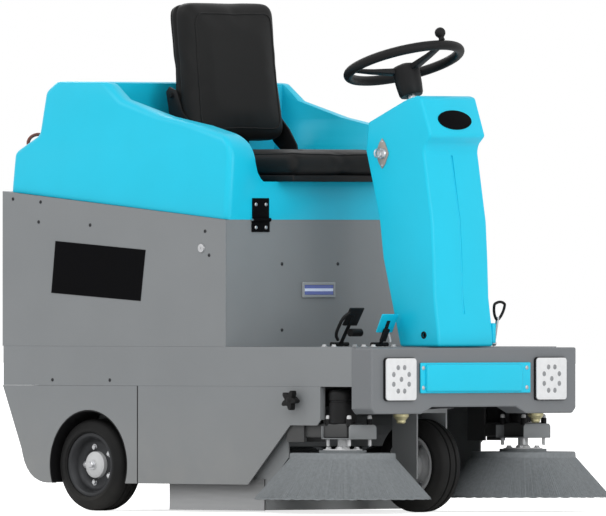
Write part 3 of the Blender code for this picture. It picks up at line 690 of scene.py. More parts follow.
def round_rectangle(half_across, half_up, corner):
    """Points of a rounded rectangle, anticlockwise."""
    points = []
    for across, up, first in ((1, 1, 0), (-1, 1, 90), (-1, -1, 180), (1, -1, 270)):
        turn = arc(across * (half_across - corner), up * (half_up - corner), corner, first, first + 90, 8)
        if points:
            points += between(points[-1], turn[0])
        points += turn
    return points + between(points[-1], points[0])


def between(start, end):
    """Points inside the straight run between two points."""
    steps = 20
    return [tuple(a + (b - a) * i / steps for a, b in zip(start, end)) for i in range(1, steps)]


# ---------------------------------------------------------------- operators

class PieceOperator:
    """Shared frame of the operators: make the pieces and report done."""
    bl_options = {"REGISTER", "UNDO"}

    def execute(self, context):
        self.make(context.scene.sweeper_sizes)
        return {"FINISHED"}


class SWEEPER_OT_finishes(PieceOperator, bpy.types.Operator):
    """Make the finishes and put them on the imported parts"""
    bl_idname = "sweeper.finishes"
    bl_label = "Finishes"

    def make(self, sizes):
        make_finishes(bpy.context.scene.sweeper_colours)
        worn = {
            "body": ("frame_rail", "foot_deck", "floor_plate", "side_panel", "seat_box_front", "rear_panel",
                     "wheel_panel", "brush_door", "wheel_bracket", "steering_head"),
            "bumper": ("front_bumper",), "fork": ("front_fork",),
            # the arm brackets take the dark finish: painted shade under the deck
            "dark": ("arm_bracket", "side_brush_arm"), "arm_grey": ("brush_chamber",),
            "black": ("seat_bracket", "suction_unit", "battery_pack", "dust_hopper", "side_brush_motor",
                      "main_brush_motor"),
            "steel": ("steering_column",), "dark_steel": ("steering_chain",), "skirt": ("side_skirt",),
            "flap": ("front_flap",), "cover": ("rear_hood", "steering_console", "bumper_cover", "brake_pedal"),
        }
        finish_of = {start: finish for finish, starts in worn.items() for start in starts}
        for name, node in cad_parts.items():
            stem = name.replace("_right", "").replace("_left", "")
            finish = FINISHES[finish_of.get(stem, "black")]
            node.data.materials.clear()
            node.data.materials.append(finish)


HOOD_OUTLINE = [(-0.682, 0.69), (-0.682, 0.83), (-0.680, 0.917), (-0.596, 0.961), (-0.583, 1.072),
                (-0.548, 1.097), (-0.361, 1.095), (-0.304, 1.049), (-0.147, 1.005), (-0.022, 0.982),
                (0.070, 0.957), (0.098, 0.930), (0.103, 0.900), (0.103, 0.69)]
PANEL_TOP_REAR = (-0.70, 0.816)
PANEL_TOP_FRONT = (0.103, 0.742)
WELL_FLARE = [(0.235, 0.839), (0.244, 0.845), (0.257, 0.862), (0.264, 0.885), (0.269, 0.91), (0.276, 0.935),
              (0.285, 0.955), (0.293, 0.978), (0.301, 1.0), (0.304, 1.06), (0.305, 1.2)]


def panel_top(x):
    """Height of the seam between the side panels and the hood."""
    share = (x - PANEL_TOP_REAR[0]) / (PANEL_TOP_FRONT[0] - PANEL_TOP_REAR[0])
    return PANEL_TOP_REAR[1] + (PANEL_TOP_FRONT[1] - PANEL_TOP_REAR[1]) * share


def draw_in(item, half):
    """Lean a shape's sides in towards its top."""
    for vertex in item.data.vertices:
        share = (vertex.co.z - PANEL_TOP_FRONT[1]) / 0.35
        vertex.co.y *= 1.0 - max(0.0, share) * 0.035 / half
    return item


class SWEEPER_OT_hood(PieceOperator, bpy.types.Operator):
    """Moulded rear hood with its seat well, and the strap that lifts it"""
    bl_idname = "sweeper.hood"
    bl_label = "Hood"

    def make(self, sizes):
        wall, half = 0.006, 0.3715
        outline = HOOD_OUTLINE[::-1]
        hood = soften(draw_in(prism(outline, "XZ", -half, half), half), 0.017, 5, 24.0)
        well = WELL_FLARE + [(-y, z) for y, z in reversed(WELL_FLARE)]
        combine(hood, prism(well, "YZ", -0.361, 0.2))
        hollow = draw_in(prism(inset(outline, wall), "XZ", -half + wall, half - wall), half)
        inner_well = prism(inset(well, -wall), "YZ", -0.367, 0.3)
        combine(hollow, inner_well)
        combine(hood, hollow)
        base = [(-0.8, panel_top(-0.8) + 0.0003), (-0.8, 0.5), (0.2, 0.5), (0.2, panel_top(0.2) + 0.0003)]
        combine(hood, prism(base, "XZ", -0.5, 0.5))
        soften(hood, 0.004, 2, 50.0)
        finish_piece("rear_hood_cover", hood, "cover", "hood", ("rear_hood",), 40.0)
        strap = tube([(-0.622, -0.29, 0.944), (-0.634, -0.292, 0.958), (-0.650, -0.305, 0.960),
                      (-0.660, -0.318, 0.946), (-0.655, -0.322, 0.926)], 0.0045)
        finish_piece("hood_strap", strap, "rust", "hood")


class SWEEPER_OT_hinges(PieceOperator, bpy.types.Operator):
    """Butt hinges that join the hood to the seat box"""
    bl_idname = "sweeper.hinges"
    bl_label = "Hood hinges"

    def make(self, sizes):
        x, z, radius = 0.1085, 0.742, 0.005
        for side, sign in SIDES:
            y = sign * 0.248
            place = along((x, y, z), (0, 1, 0))
            lower = [box((0.1033, y - 0.032, 0.711), (0.1063, y + 0.032, 0.740), 0.001, 2)]
            lower += [round_bar(start, end, radius, 20, place) for start, end in ((-0.031, -0.011), (0.011, 0.031))]
            finish_piece(f"hinge_lower_{side}", lower, "plate", "chassis", (f"hood_hinge_{side}",))
            upper = [box((0.1033, y - 0.030, 0.744), (0.1063, y + 0.030, 0.797), 0.001, 2),
                     round_bar(-0.0105, 0.0105, radius, 20, place)]
            finish_piece(f"hinge_upper_{side}", upper, "plate", "hood")
            finish_piece(f"hinge_pin_{side}", round_bar(-0.034, 0.034, 0.0032, 14, place), "steel", "chassis")
            for leaf, height, body in (("lower", 0.7225, "chassis"), ("upper", 0.781, "hood")):
                spots = [((0.1063, y + across, height), (1, 0, 0)) for across in (-0.018, 0.018)]
                repeat(f"hinge_{leaf}_screws_{side}", pan_screw(0.005), spots, "steel", body)


CONSOLE_OUTLINE = [(0.453, 0.4203), (0.392, 0.645), (0.379, 0.742), (0.352, 0.844), (0.331, 0.918),
                   (0.339, 0.989), (0.475, 1.047), (0.512, 1.057), (0.530, 1.050), (0.5646, 0.954),
                   (0.543, 0.933), (0.538, 0.913), (0.568, 0.737), (0.5735, 0.645), (0.577, 0.546),
                   (0.590, 0.459), (0.592, 0.4203)]
WHEEL_FRAME = Matrix.Translation((0.3715, 0.0, 1.14)) @ Matrix.Rotation(math.radians(-18.0), 4, "Y")


class SWEEPER_OT_console(PieceOperator, bpy.types.Operator):
    """Steering console with its groove, key switch, badge place and cable hole"""
    bl_idname = "sweeper.console"
    bl_label = "Console"

    def make(self, sizes):
        half, wall = 0.10, 0.005
        plug_place = along((0.539, -half, 0.45), (0, -1, 0))
        console = soften(prism(CONSOLE_OUTLINE, "XZ", -half, half), 0.011, 5, 22.0)
        line = [(0.5375, 0.905), (0.568, 0.737), (0.5735, 0.645), (0.577, 0.546), (0.583, 0.503)]
        strip = [(x + 0.008, z) for x, z in line] + [(x - 0.0022, z) for x, z in reversed(line)]
        combine(console, soften(prism(strip, "XZ", -0.0042, 0.0042), 0.002, 2, 60.0))
        combine(console, prism(inset(CONSOLE_OUTLINE[::-1], wall), "XZ", -half + wall, half - wall))
        combine(console, box((0.3, -0.2, 0.3), (0.7, 0.2, 0.4203)))
        combine(console, round_bar(-0.25, 0.05, 0.0175, 24, WHEEL_FRAME))
        combine(console, round_bar(-0.02, 0.02, 0.007, 20, plug_place))
        finish_piece("console_cover", console, "cover", "chassis", ("steering_console",), 40.0)
        foot = box((0.430, half - 0.002, 0.4290), (0.5915, half + 0.010, 0.480), 0.0035, 3)
        finish_piece("console_foot", foot, "cover", "chassis")
        finish_piece("cable_grommet", ring(0.0075, 0.002, plug_place, 28, 10), "grip", "chassis")
        slope = math.atan2(1.050 - 0.954, 0.5646 - 0.530)
        normal = Vector((math.sin(slope), 0.0, math.cos(slope)))
        place = Vector((0.5495, 0.0, 0.994)) + normal * 0.0004
        across, up = 0.060, 0.026
        oval = [(across * math.cos(t), up * math.sin(t)) for t in (2.0 * math.pi * i / 48 for i in range(48))]
        badge = prism(oval, "XY", 0.0, 0.0022, 0.0008, 2)
        badge.matrix_world = Matrix(((0, -math.cos(slope), normal.x, place.x), (1, 0, 0, place.y),
                                     (0, math.sin(slope), normal.z, place.z), (0, 0, 0, 1)))
        finish_piece("badge_plate", badge, "plate", "chassis")
        key_x, key_z = 0.393, 0.910
        diamond = [(0.0, -0.039), (0.011, -0.026), (0.023, 0.0), (0.011, 0.026), (0.0, 0.039), (-0.011, 0.026),
                   (-0.023, 0.0), (-0.011, -0.026)]
        plate = soften(prism([(key_x + x, key_z + z) for x, z in diamond], "XZ", -half - 0.0022, -half), 0.001, 2)
        switch = turned([(0, 0.006), (0.0125, 0.0055), (0.0145, 0.0025), (0.0150, 0), (0, 0)], 36,
                        matrix=along((key_x, -half - 0.0020, key_z), (0, -1, 0)))
        finish_piece("key_switch_plate", plate, "dull", "chassis")
        finish_piece("key_switch_ring", switch, "steel", "chassis")
        repeat("key_switch_rivets", turned([(0, 0.0012), (0.0022, 0.0008), (0.0026, 0), (0, 0)], 12),
               [((key_x, -half - 0.0021, key_z + z), (0, -1, 0)) for z in (-0.030, 0.030)], "steel", "chassis")
        bow = ring(0.0105, 0.0024, along((key_x, -0.1185, key_z), (1, 0, 0)), 32, 10)
        blade = box((0.3917, -0.1100, 0.9065), (0.3943, -0.1003, 0.9135), 0.0008, 2)
        finish_piece("key_bow", [combine(bow, blade, "UNION")], "steel", "key", ("key",))


class SWEEPER_OT_steering(PieceOperator, bpy.types.Operator):
    """Steering wheel with its spokes, boss and shaft, and the spinner knob"""
    bl_idname = "sweeper.steering"
    bl_label = "Steering wheel"

    def make(self, sizes):
        radius, bar = 0.145, 0.0125
        rim = ring(radius, bar, WHEEL_FRAME, 96, 18)
        finish_piece("steering_rim", rim, "grip", "wheel", ("steering_wheel",), 60.0)
        spokes = []
        for turn in (0.0, 120.0, 240.0):
            spin = WHEEL_FRAME @ Matrix.Rotation(math.radians(turn), 4, "Z")
            outline = [(0.018, -0.014), (0.080, -0.006), (0.136, 0.005), (0.140, -0.001), (0.084, -0.016),
                       (0.020, -0.030)]
            spoke = prism(outline[::-1], "XZ", -0.011, 0.011, 0.003, 3)
            for vertex in spoke.data.vertices:
                vertex.co.y *= 1.25 - vertex.co.x * 3.2
            spoke.matrix_world = spin
            spokes.append(spoke)
        boss = turned([(0, -0.006), (0.024, -0.0065), (0.031, -0.009), (0.0345, -0.014), (0.035, -0.030),
                       (0.0335, -0.060), (0.031, -0.082), (0.028, -0.088), (0, -0.088)], 48, matrix=WHEEL_FRAME)
        finish_piece("steering_spokes", spokes, "black", "wheel")
        finish_piece("steering_boss", boss, "black", "wheel")
        cap = turned([(0, -0.0022), (0.012, -0.0028), (0.017, -0.0045), (0.018, -0.0075), (0, -0.0075)], 36,
                     matrix=WHEEL_FRAME)
        finish_piece("boss_cap", cap, "grip", "wheel")
        shaft = round_bar(-0.385, -0.088, 0.012, 28, WHEEL_FRAME)
        finish_piece("steering_shaft", shaft, "steel", "wheel")
        place = WHEEL_FRAME @ Matrix.Translation((radius, 0.0, 0.0))
        ball = [(0.0138 * math.sin(t), 0.033 + 0.0138 * math.cos(t)) for t in (math.pi * i / 20 for i in range(17))]
        knob = turned(ball + [(0.0068, 0.0185), (0.0082, 0.0145), (0.0082, 0.0130), (0, 0.0130)], 36, matrix=place)
        finish_piece("spinner_ball", knob, "grip", "spinner", ("spinner_knob",), 60.0)


class SWEEPER_OT_wheels(PieceOperator, bpy.types.Operator):
    """Solid tyres on steel rims, with hubs and nuts"""
    bl_idname = "sweeper.wheels"
    bl_label = "Wheels"

    def make(self, sizes):
        lug_circle = 0.047
        front = along(FRONT_AXLE, (0, 1, 0))
        self.tyre("front_tyre_tread", FRONT_AXLE[2], 0.0786, 0.085, front, "front_wheel", "front_tyre")
        dish = mirrored([(0.030, 0.016), (0.040, 0.010), (0.056, 0.010), (0.062, 0.016), (0.067, 0.034),
                         (0.074, 0.0375), (0.078, 0.036), (0.078, 0.030), (0.0725, 0.026)])
        finish_piece("front_rim_dish", turned(dish, 64, True, front), "silver", "front_wheel", ("front_rim",), 60.0)
        hub = turned(mirrored([(0, 0.0498), (0.016, 0.0498), (0.020, 0.046), (0.024, 0.030), (0.031, 0.024)]), 40,
                     matrix=front)
        finish_piece("front_hub", hub, "silver", "front_wheel")
        spots = []
        for face in (1.0, -1.0):
            centre = (FRONT_AXLE[0], face * 0.010, FRONT_AXLE[2])
            spots += on_circle(centre, (0, face, 0), lug_circle, lug_circle, 5, 0.0)
        repeat("front_wheel_nuts", hex_bolt(sizes.lug * 0.8), spots, "steel", "front_wheel")
        for side, sign in SIDES:
            place = along((REAR_AXLE_X, sign * 0.315, REAR_AXLE_Z), (0, sign, 0))
            body = f"rear_wheel_{side}"
            self.tyre(f"rear_tyre_tread_{side}", REAR_AXLE_Z, 0.0818, 0.090, place, body, f"rear_tyre_{side}")
            dish = [(0.031, 0.012), (0.046, 0.006), (0.060, 0.008), (0.066, 0.018), (0.071, 0.035),
                    (0.077, 0.0385), (0.0812, 0.037), (0.0812, 0.030), (0.076, 0.026), (0.076, -0.026),
                    (0.0812, -0.030), (0.0812, -0.037), (0.077, -0.0385), (0.070, -0.034), (0.060, -0.004),
                    (0.046, -0.008), (0.031, -0.010)]
            finish_piece(f"rear_rim_dish_{side}", turned(dish, 64, True, place), "dark_steel", body,
                         (f"rear_rim_{side}",), 60.0)
            hub = turned([(0, 0.030), (0.012, 0.030), (0.014, 0.027), (0.0275, 0.025), (0.0335, 0.021),
                          (0.0345, 0.008), (0.034, -0.010), (0.026, -0.022), (0.024, -0.0655), (0, -0.0655)], 40,
                         matrix=place)
            finish_piece(f"rear_hub_{side}", hub, "silver", body)
            axle_end = (REAR_AXLE_X, sign * 0.3448, REAR_AXLE_Z)
            repeat(f"rear_hub_nut_{side}", hex_bolt(0.0085), [(axle_end, (0, sign, 0))], "steel", body)
            centre = (REAR_AXLE_X, sign * 0.3208, REAR_AXLE_Z)
            spots = on_circle(centre, (0, sign, 0), lug_circle, lug_circle, 5, 0.5)
            repeat(f"rear_wheel_nuts_{side}", hex_bolt(sizes.lug), spots, "steel", body)

    def tyre(self, name, radius, inner, width, place, body, node):
        """A solid tyre with stepped sidewalls and two tread grooves."""
        half = width / 2.0
        side = [(inner, half - 0.006), (inner + 0.004, half - 0.001), (inner + 0.010, half),
                (radius - 0.024, half - 0.0006), (radius - 0.021, half - 0.003), (radius - 0.010, half - 0.0065),
                (radius - 0.0035, half - 0.013), (radius - 0.0008, half - 0.020)]
        groove = [(radius, 0.0135), (radius - 0.004, 0.0125), (radius - 0.004, 0.0085), (radius, 0.0075)]
        finish_piece(name, turned(mirrored(side + groove), 96, True, place), "tyre", body, (node,), 38.0)


class SWEEPER_OT_side_brushes(PieceOperator, bpy.types.Operator):
    """Side brushes with their skirts of bristle, drive plates and arm fittings"""
    bl_idname = "sweeper.side_brushes"
    bl_label = "Side brushes"

    def make(self, sizes):
        chance = random.Random(11)
        for side, sign in SIDES:
            y = sign * BRUSH_Y
            body = f"side_brush_{side}"
            centre = Matrix.Translation((BRUSH_X, y, 0.0))
            cone = [(0.060, 0.1595), (0.060, 0.1527), (0.1300, 0.1527), (0.1318, 0.1522), (0.1332, 0.1508),
                    (0.1338, 0.148), (0.1345, 0.138), (0.1670, 0.1014), (0.1990, 0.0653), (0.2240, 0.0372),
                    (0.2246, 0.0362), (0.2180, 0.0362), (0.205, 0.037), (0.110, 0.1380), (0.060, 0.1400),
                    (0, 0.140), (0, 0.1595)]
            skirt = flatten([turned(cone, 288, matrix=centre)])
            for vertex in skirt.vertices:
                off = Vector((vertex.co.x - BRUSH_X, vertex.co.y - y))
                if vertex.co.z < 0.137 and off.length > 0.12:
                    turn = math.atan2(off.y, off.x)
                    share = (0.137 - vertex.co.z) / 0.1
                    wave = 0.5 * math.sin(turn * 48.0) + 0.35 * math.sin(turn * 31.0 + 1.0)
                    vertex.co.z += 0.0012 * share * wave
                    vertex.co.x -= off.x / off.length * 0.0009 * (1.0 + wave) * share
                    vertex.co.y -= off.y / off.length * 0.0009 * (1.0 + wave) * share
            declare(f"brush_skirt_{side}", skirt, "bristle", body, (f"side_brush_{side}",), 50.0)
            spots = []
            slope = Vector((0.2246 - 0.1345, 0.0362 - 0.138)).normalized()
            for i in range(sizes.tufts):
                turn = 2.0 * math.pi * (i + chance.uniform(-0.3, 0.3)) / sizes.tufts
                out = Vector((math.cos(turn), math.sin(turn), 0.0))
                start = Vector((BRUSH_X, y, 0.0)) + out * 0.1350 + Vector((0, 0, 0.1364))
                aim = out * slope.x + Vector((0, 0, slope.y))
                spots.append((start, aim))
            tuft = turned([(0, 0.130), (sizes.tuft * 1.25, 0.130), (sizes.tuft, 0.0), (0, 0.0)], 5)
            repeat(f"brush_tufts_{side}", tuft, spots, "bristle", body, (0.985, 1.0), 5, 80.0)
            hub = turned([(0, 0.1867), (0.013, 0.1867), (0.013, 0.170), (0.018, 0.166), (0.018, 0.1625),
                          (0.049, 0.1615), (0.050, 0.1600), (0.050, 0.1596), (0, 0.1596)], 56, matrix=centre)
            finish_piece(f"brush_drive_plate_{side}", hub, "silver", body)
            bolts = on_circle((BRUSH_X, y, 0.1615), (0, 0, 1), 0.036, 0.036, 4, 0.375)
            repeat(f"brush_plate_bolts_{side}", hex_bolt(0.0065), bolts, "silver", body)
            arm = f"arm_{side}"
            mid = sign * 0.317
            near, far = span(sign, 0.296, 0.360)
            beam = box((0.330, near, 0.1905), (0.5200, far, 0.2267), 0.004, 3)
            # the beam takes the dark finish as painted shade; the plate below keeps the grey it shows in the light
            finish_piece(f"arm_beam_{side}", beam, "dark", arm, (f"side_brush_arm_{side}",))
            wide = 0.049
            plate = [box((0.436, mid - wide, 0.1872), (0.5360, mid + wide, 0.1902), 0.001, 2),
                     box((0.436, mid - wide, 0.1890), (0.4390, mid + wide, 0.2200), 0.001, 2)]
            apron = prism([(mid - wide, 0.1890), (mid + wide, 0.1890), (mid + wide, 0.2180), (mid + 0.043, 0.2240),
                           (mid - 0.043, 0.2240), (mid - wide, 0.2180)], "YZ", 0.5330, 0.5360, 0.0008, 2)
            finish_piece(f"arm_plate_{side}", plate + [apron], "arm_grey", arm)
            corners = [(x, mid + across) for x in (0.449, 0.523) for across in (-0.037, 0.037)]
            for kind, finish, steps, height, profile in (
                    ("studs", "silver", 12, 0.1872,
                     [(0, 0.0), (0.0045, 0.0), (0.0045, -0.016), (0.003, -0.018), (0, -0.018)]),
                    ("bolts", "silver", 16, 0.2385,
                     [(0, 0.0095), (0.0040, 0.0090), (0.0058, 0.0060), (0.0060, 0.0), (0, 0.0)]),
                    ("sleeves", "grip", 16, 0.2217,
                     [(0, 0.0168), (0.0068, 0.0168), (0.0075, 0.0155), (0.0075, 0.0), (0, 0.0)])):
                spots = [((*spot, height), (0, 0, 1)) for spot in corners]
                repeat(f"arm_{kind}_{side}", turned(profile, steps), spots, finish, arm)
            motor = turned([(0, 0.3135), (0.020, 0.3135), (0.028, 0.312), (0.0335, 0.306), (0.0345, 0.300),
                            (0.0345, 0.286), (0.0325, 0.285), (0.0325, 0.280), (0.0345, 0.279), (0.0345, 0.2272),
                            (0, 0.2272)], 48, matrix=centre)
            finish_piece(f"brush_motor_{side}", motor, "black", arm, (f"side_brush_motor_{side}",), 40.0)


class SWEEPER_OT_main_brush(PieceOperator, bpy.types.Operator):
    """Main brush: a core with slanting rows of tufts"""
    bl_idname = "sweeper.main_brush"
    bl_label = "Main brush"

    def make(self, sizes):
        low, high = -0.3357, 0.2750
        axle_x, axle_z = 0.06, 0.131
        place = along((axle_x, 0.0, axle_z), (0, 1, 0))
        core = turned([(0, high + 0.005), (0.029, high + 0.005), (0.030, high), (0.060, high - 0.004), (0.060, low),
                       (0.030, low - 0.004), (0.029, low - 0.009), (0, low - 0.009)], 48, matrix=place)
        finish_piece("main_brush_core", core, "black", "main_brush", ("main_brush",), 40.0, slot="bristle")
        spots = []
        rows, along_row = 12, 58
        for row in range(rows):
            for i in range(along_row):
                share = (i + 0.5) / along_row
                turn = 2.0 * math.pi * row / rows + 0.9 * abs(share - 0.5) * 2.0
                out = Vector((math.cos(turn), 0.0, math.sin(turn)))
                where = Vector((axle_x, low + 0.006 + (high - low - 0.012) * share, axle_z)) + out * 0.058
                spots.append((where, out))
        tuft = turned([(0, 0.0665), (0.0062, 0.0665), (0.0034, 0.0), (0, 0.0)], 6)
        repeat("main_brush_tufts", tuft, spots, "bristle", "main_brush", (0.97, 1.0), 3, 80.0)


class SWEEPER_OT_doors(PieceOperator, bpy.types.Operator):
    """Rear wheel panels, door edges, star knobs, screws, lock, bare plates and gauge"""
    bl_idname = "sweeper.doors"
    bl_label = "Doors and panels"

    def make(self, sizes):
        lobes = []
        for i in range(80):
            turn = 2.0 * math.pi * i / 80
            radius = 0.0195 + 0.0065 * math.cos(5.0 * turn + 0.6)
            lobes.append((radius * math.cos(turn), radius * math.sin(turn)))
        low = 0.071
        lift = math.degrees(math.asin((REAR_AXLE_Z - low) / ARCH_RADIUS))
        arch = arc(ARCH_X, REAR_AXLE_Z, ARCH_RADIUS, 180.0 + lift, -lift, 60)
        corner = [(-0.70, 0.3197), (-0.633, 0.160), (-0.6285, 0.1445), (-0.622, 0.125), (-0.612, 0.108),
                  (-0.600, 0.094), (-0.586, 0.0838), (-0.568, 0.076), (-0.554, 0.0722), (-0.540, low)]
        lip_out = arc(ARCH_X, REAR_AXLE_Z, ARCH_RADIUS + 0.0015, 180.0 + lift, -lift, 60)
        for side, sign in SIDES:
            panel = prism(corner + arch + [(DOOR_SEAM_X, low), (DOOR_SEAM_X, 0.3197)], "XZ",
                          *span(sign, 0.3695, FACE_Y), 0.0006, 1)
            lip = prism(lip_out + arch[::-1], "XZ", *span(sign, 0.3550, 0.3698))
            finish_piece(f"wheel_panel_sheet_{side}", panel, "body", "chassis", (f"wheel_panel_{side}",))
            finish_piece(f"wheel_arch_lip_{side}", lip, "body", "chassis")
            near, far = span(sign, 0.3540, 0.3697)
            edge = box((0.4360, near, 0.236), (0.4388, far, 0.3190), 0.0008, 2)
            finish_piece(f"door_return_{side}", edge, "body", f"door_{side}")
            body = f"knob_{side}"
            place = along((0.352, sign * 0.3728, 0.286), (0, sign, 0))
            star = prism(lobes, "XY", 0.011, 0.027, 0.004, 4)
            star.matrix_world = place
            neck = turned([(0, 0.0115), (0.011, 0.0115), (0.009, 0.0), (0, 0.0)], 28, matrix=place)
            cap = turned([(0, 0.028), (0.007, 0.0277), (0.0085, 0.0262), (0, 0.0262)], 28, matrix=place)
            finish_piece(f"star_knob_{side}", [star, neck, cap], "grip", body, (f"door_knob_{side}",), 50.0)
            face = sign * FACE_Y
            screws = [(-0.662, 0.796), (-0.562, 0.788), (-0.569, 0.737), (-0.383, 0.729), (-0.519, 0.334),
                      (-0.312, 0.334), (0.030, 0.713), (0.044, 0.652)]
            repeat(f"side_screws_{side}", pan_screw(sizes.screw), [((x, face, z), (0, sign, 0)) for x, z in screws],
                   "dark_steel", "chassis")
            lock = turned([(0, 0.0022), (0.0025, 0.0022), (0.003, 0.0035), (0.008, 0.0040), (0.0105, 0.0030),
                           (0.0115, 0.0), (0, 0.0)], 40, matrix=along((0.017, face, 0.67), (0, sign, 0)))
            finish_piece(f"cam_lock_{side}", lock, "steel", "chassis")
            plate = [(-0.508, 0.6885), (-0.523, 0.556), (-0.201, 0.5355), (-0.183, 0.6656)]
            sheet = prism(plate, "XZ", *span(sign, FACE_Y, FACE_Y + 0.0012), 0.0004, 1)
            finish_piece(f"bare_plate_{side}", sheet, "plate", "chassis")
        front = [(-0.169, 0.63), (0.034, 0.63), (-0.169, 0.462), (0.034, 0.462)]
        repeat("front_screws", pan_screw(sizes.screw), [((SEAT_BOX_X, y, z), (1, 0, 0)) for y, z in front],
               "dark_steel", "chassis")
        bezel = box((SEAT_BOX_X, -0.098, 0.544), (0.1075, 0.022, 0.584), 0.002, 3)
        combine(bezel, box((0.1055, -0.091, 0.551), (0.12, 0.015, 0.577)))
        finish_piece("gauge_bezel", bezel, "bright", "chassis")
        window = box((0.1045, -0.0905, 0.5515), (0.1063, 0.0145, 0.5765), 0.0005, 1)
        finish_piece("gauge_window", window, "display", "chassis")


class SWEEPER_OT_front(PieceOperator, bpy.types.Operator):
    """Lamps, bumper cover plate, dust flap, left skirt, wheel liners and door seams"""
    bl_idname = "sweeper.front"
    bl_label = "Bumper and lamps"

    def make(self, sizes):
        z, half, rise = 0.3388, 0.0565, 0.0548
        for side, sign in SIDES:
            y = sign * 0.2735
            outer = [(y + a, z + b) for a, b in round_rectangle(half, rise, 0.010)]
            case = prism(outer, "YZ", 0.6195, 0.6265, 0.0008, 2)
            finish_piece(f"lamp_case_{side}", case, "black", "chassis", (f"headlight_{side}",))
            pane = [(y + a, z + b) for a, b in round_rectangle(half - 0.0018, rise - 0.0018, 0.0085)]
            lens = prism(pane, "YZ", 0.6255, 0.6290, 0.0012, 3)
            finish_piece(f"lamp_lens_{side}", lens, "lamp", "chassis")
            middle, ahead = (0.6289, y, z), (1, 0, 0)
            spots = [(middle, ahead)] + on_circle(middle, ahead, 0.030, 0.032, 8, 0.5)
            led = turned([(0, 0.0010), (0.0050, 0.0008), (0.0068, 0.0), (0, 0.0)], 18)
            repeat(f"lamp_leds_{side}", led, spots, "led", "chassis")
            bolt_y = -0.23 if sign < 0 else 0.26
            cone = turned([(0, 0.0), (0.020, 0.0), (0.020, -0.006), (0.012, -0.016), (0.012, -0.021),
                           (0.0085, -0.024), (0, -0.024)], 24, matrix=Matrix.Translation((0.585, bolt_y, 0.2508)))
            finish_piece(f"bumper_foot_{side}", cone, "brass", "chassis")
        flap = box((0.2142, -0.343, 0.006), (0.2178, 0.255, 0.118), 0.0008, 2)
        finish_piece("dust_flap", flap, "flap", "chassis", ("front_flap",))
        curve = (arc(ARCH_X, REAR_AXLE_Z, 0.1396, 199.0, -19.0, 24) +
                 arc(ARCH_X, REAR_AXLE_Z, 0.1372, -19.0, 199.0, 24))
        for side, sign in SIDES:
            liner = prism(curve, "XZ", *span(sign, 0.275, 0.3721))
            finish_piece(f"wheel_liner_{side}", liner, "black", "chassis")
            near, far = span(sign, 0.3700, 0.3730)
            strip = box((-0.2145, near, 0.0715), (DOOR_SEAM_X, far, 0.3195), 0.0004, 2)
            finish_piece(f"door_seam_{side}", strip, "black", "chassis")
        outline = [(-0.116, 0.005), (0.150, 0.005), (0.222, 0.060), (0.222, 0.085), (-0.116, 0.085)]
        low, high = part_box("side_skirt_left")
        skirt = prism(outline, "XZ", low.y, high.y, 0.0008, 2)
        finish_piece("left_skirt", skirt, "skirt", "chassis", ("side_skirt_left",))
        cover = box((0.6203, -0.200, 0.303), (0.6265, 0.200, 0.3805), 0.003, 3)
        raised = box((0.6225, -0.184, 0.3065), (0.6340, 0.165, 0.3765), 0.006, 4)
        finish_piece("cover_plate", [cover, raised], "cover", "chassis", ("bumper_cover",))
        spots = [((0.6264, y, up), (1, 0, 0)) for y in (-0.1915, 0.185) for up in (0.317, 0.367)]
        repeat("cover_plate_screws", pan_screw(0.0055), spots, "steel", "chassis")


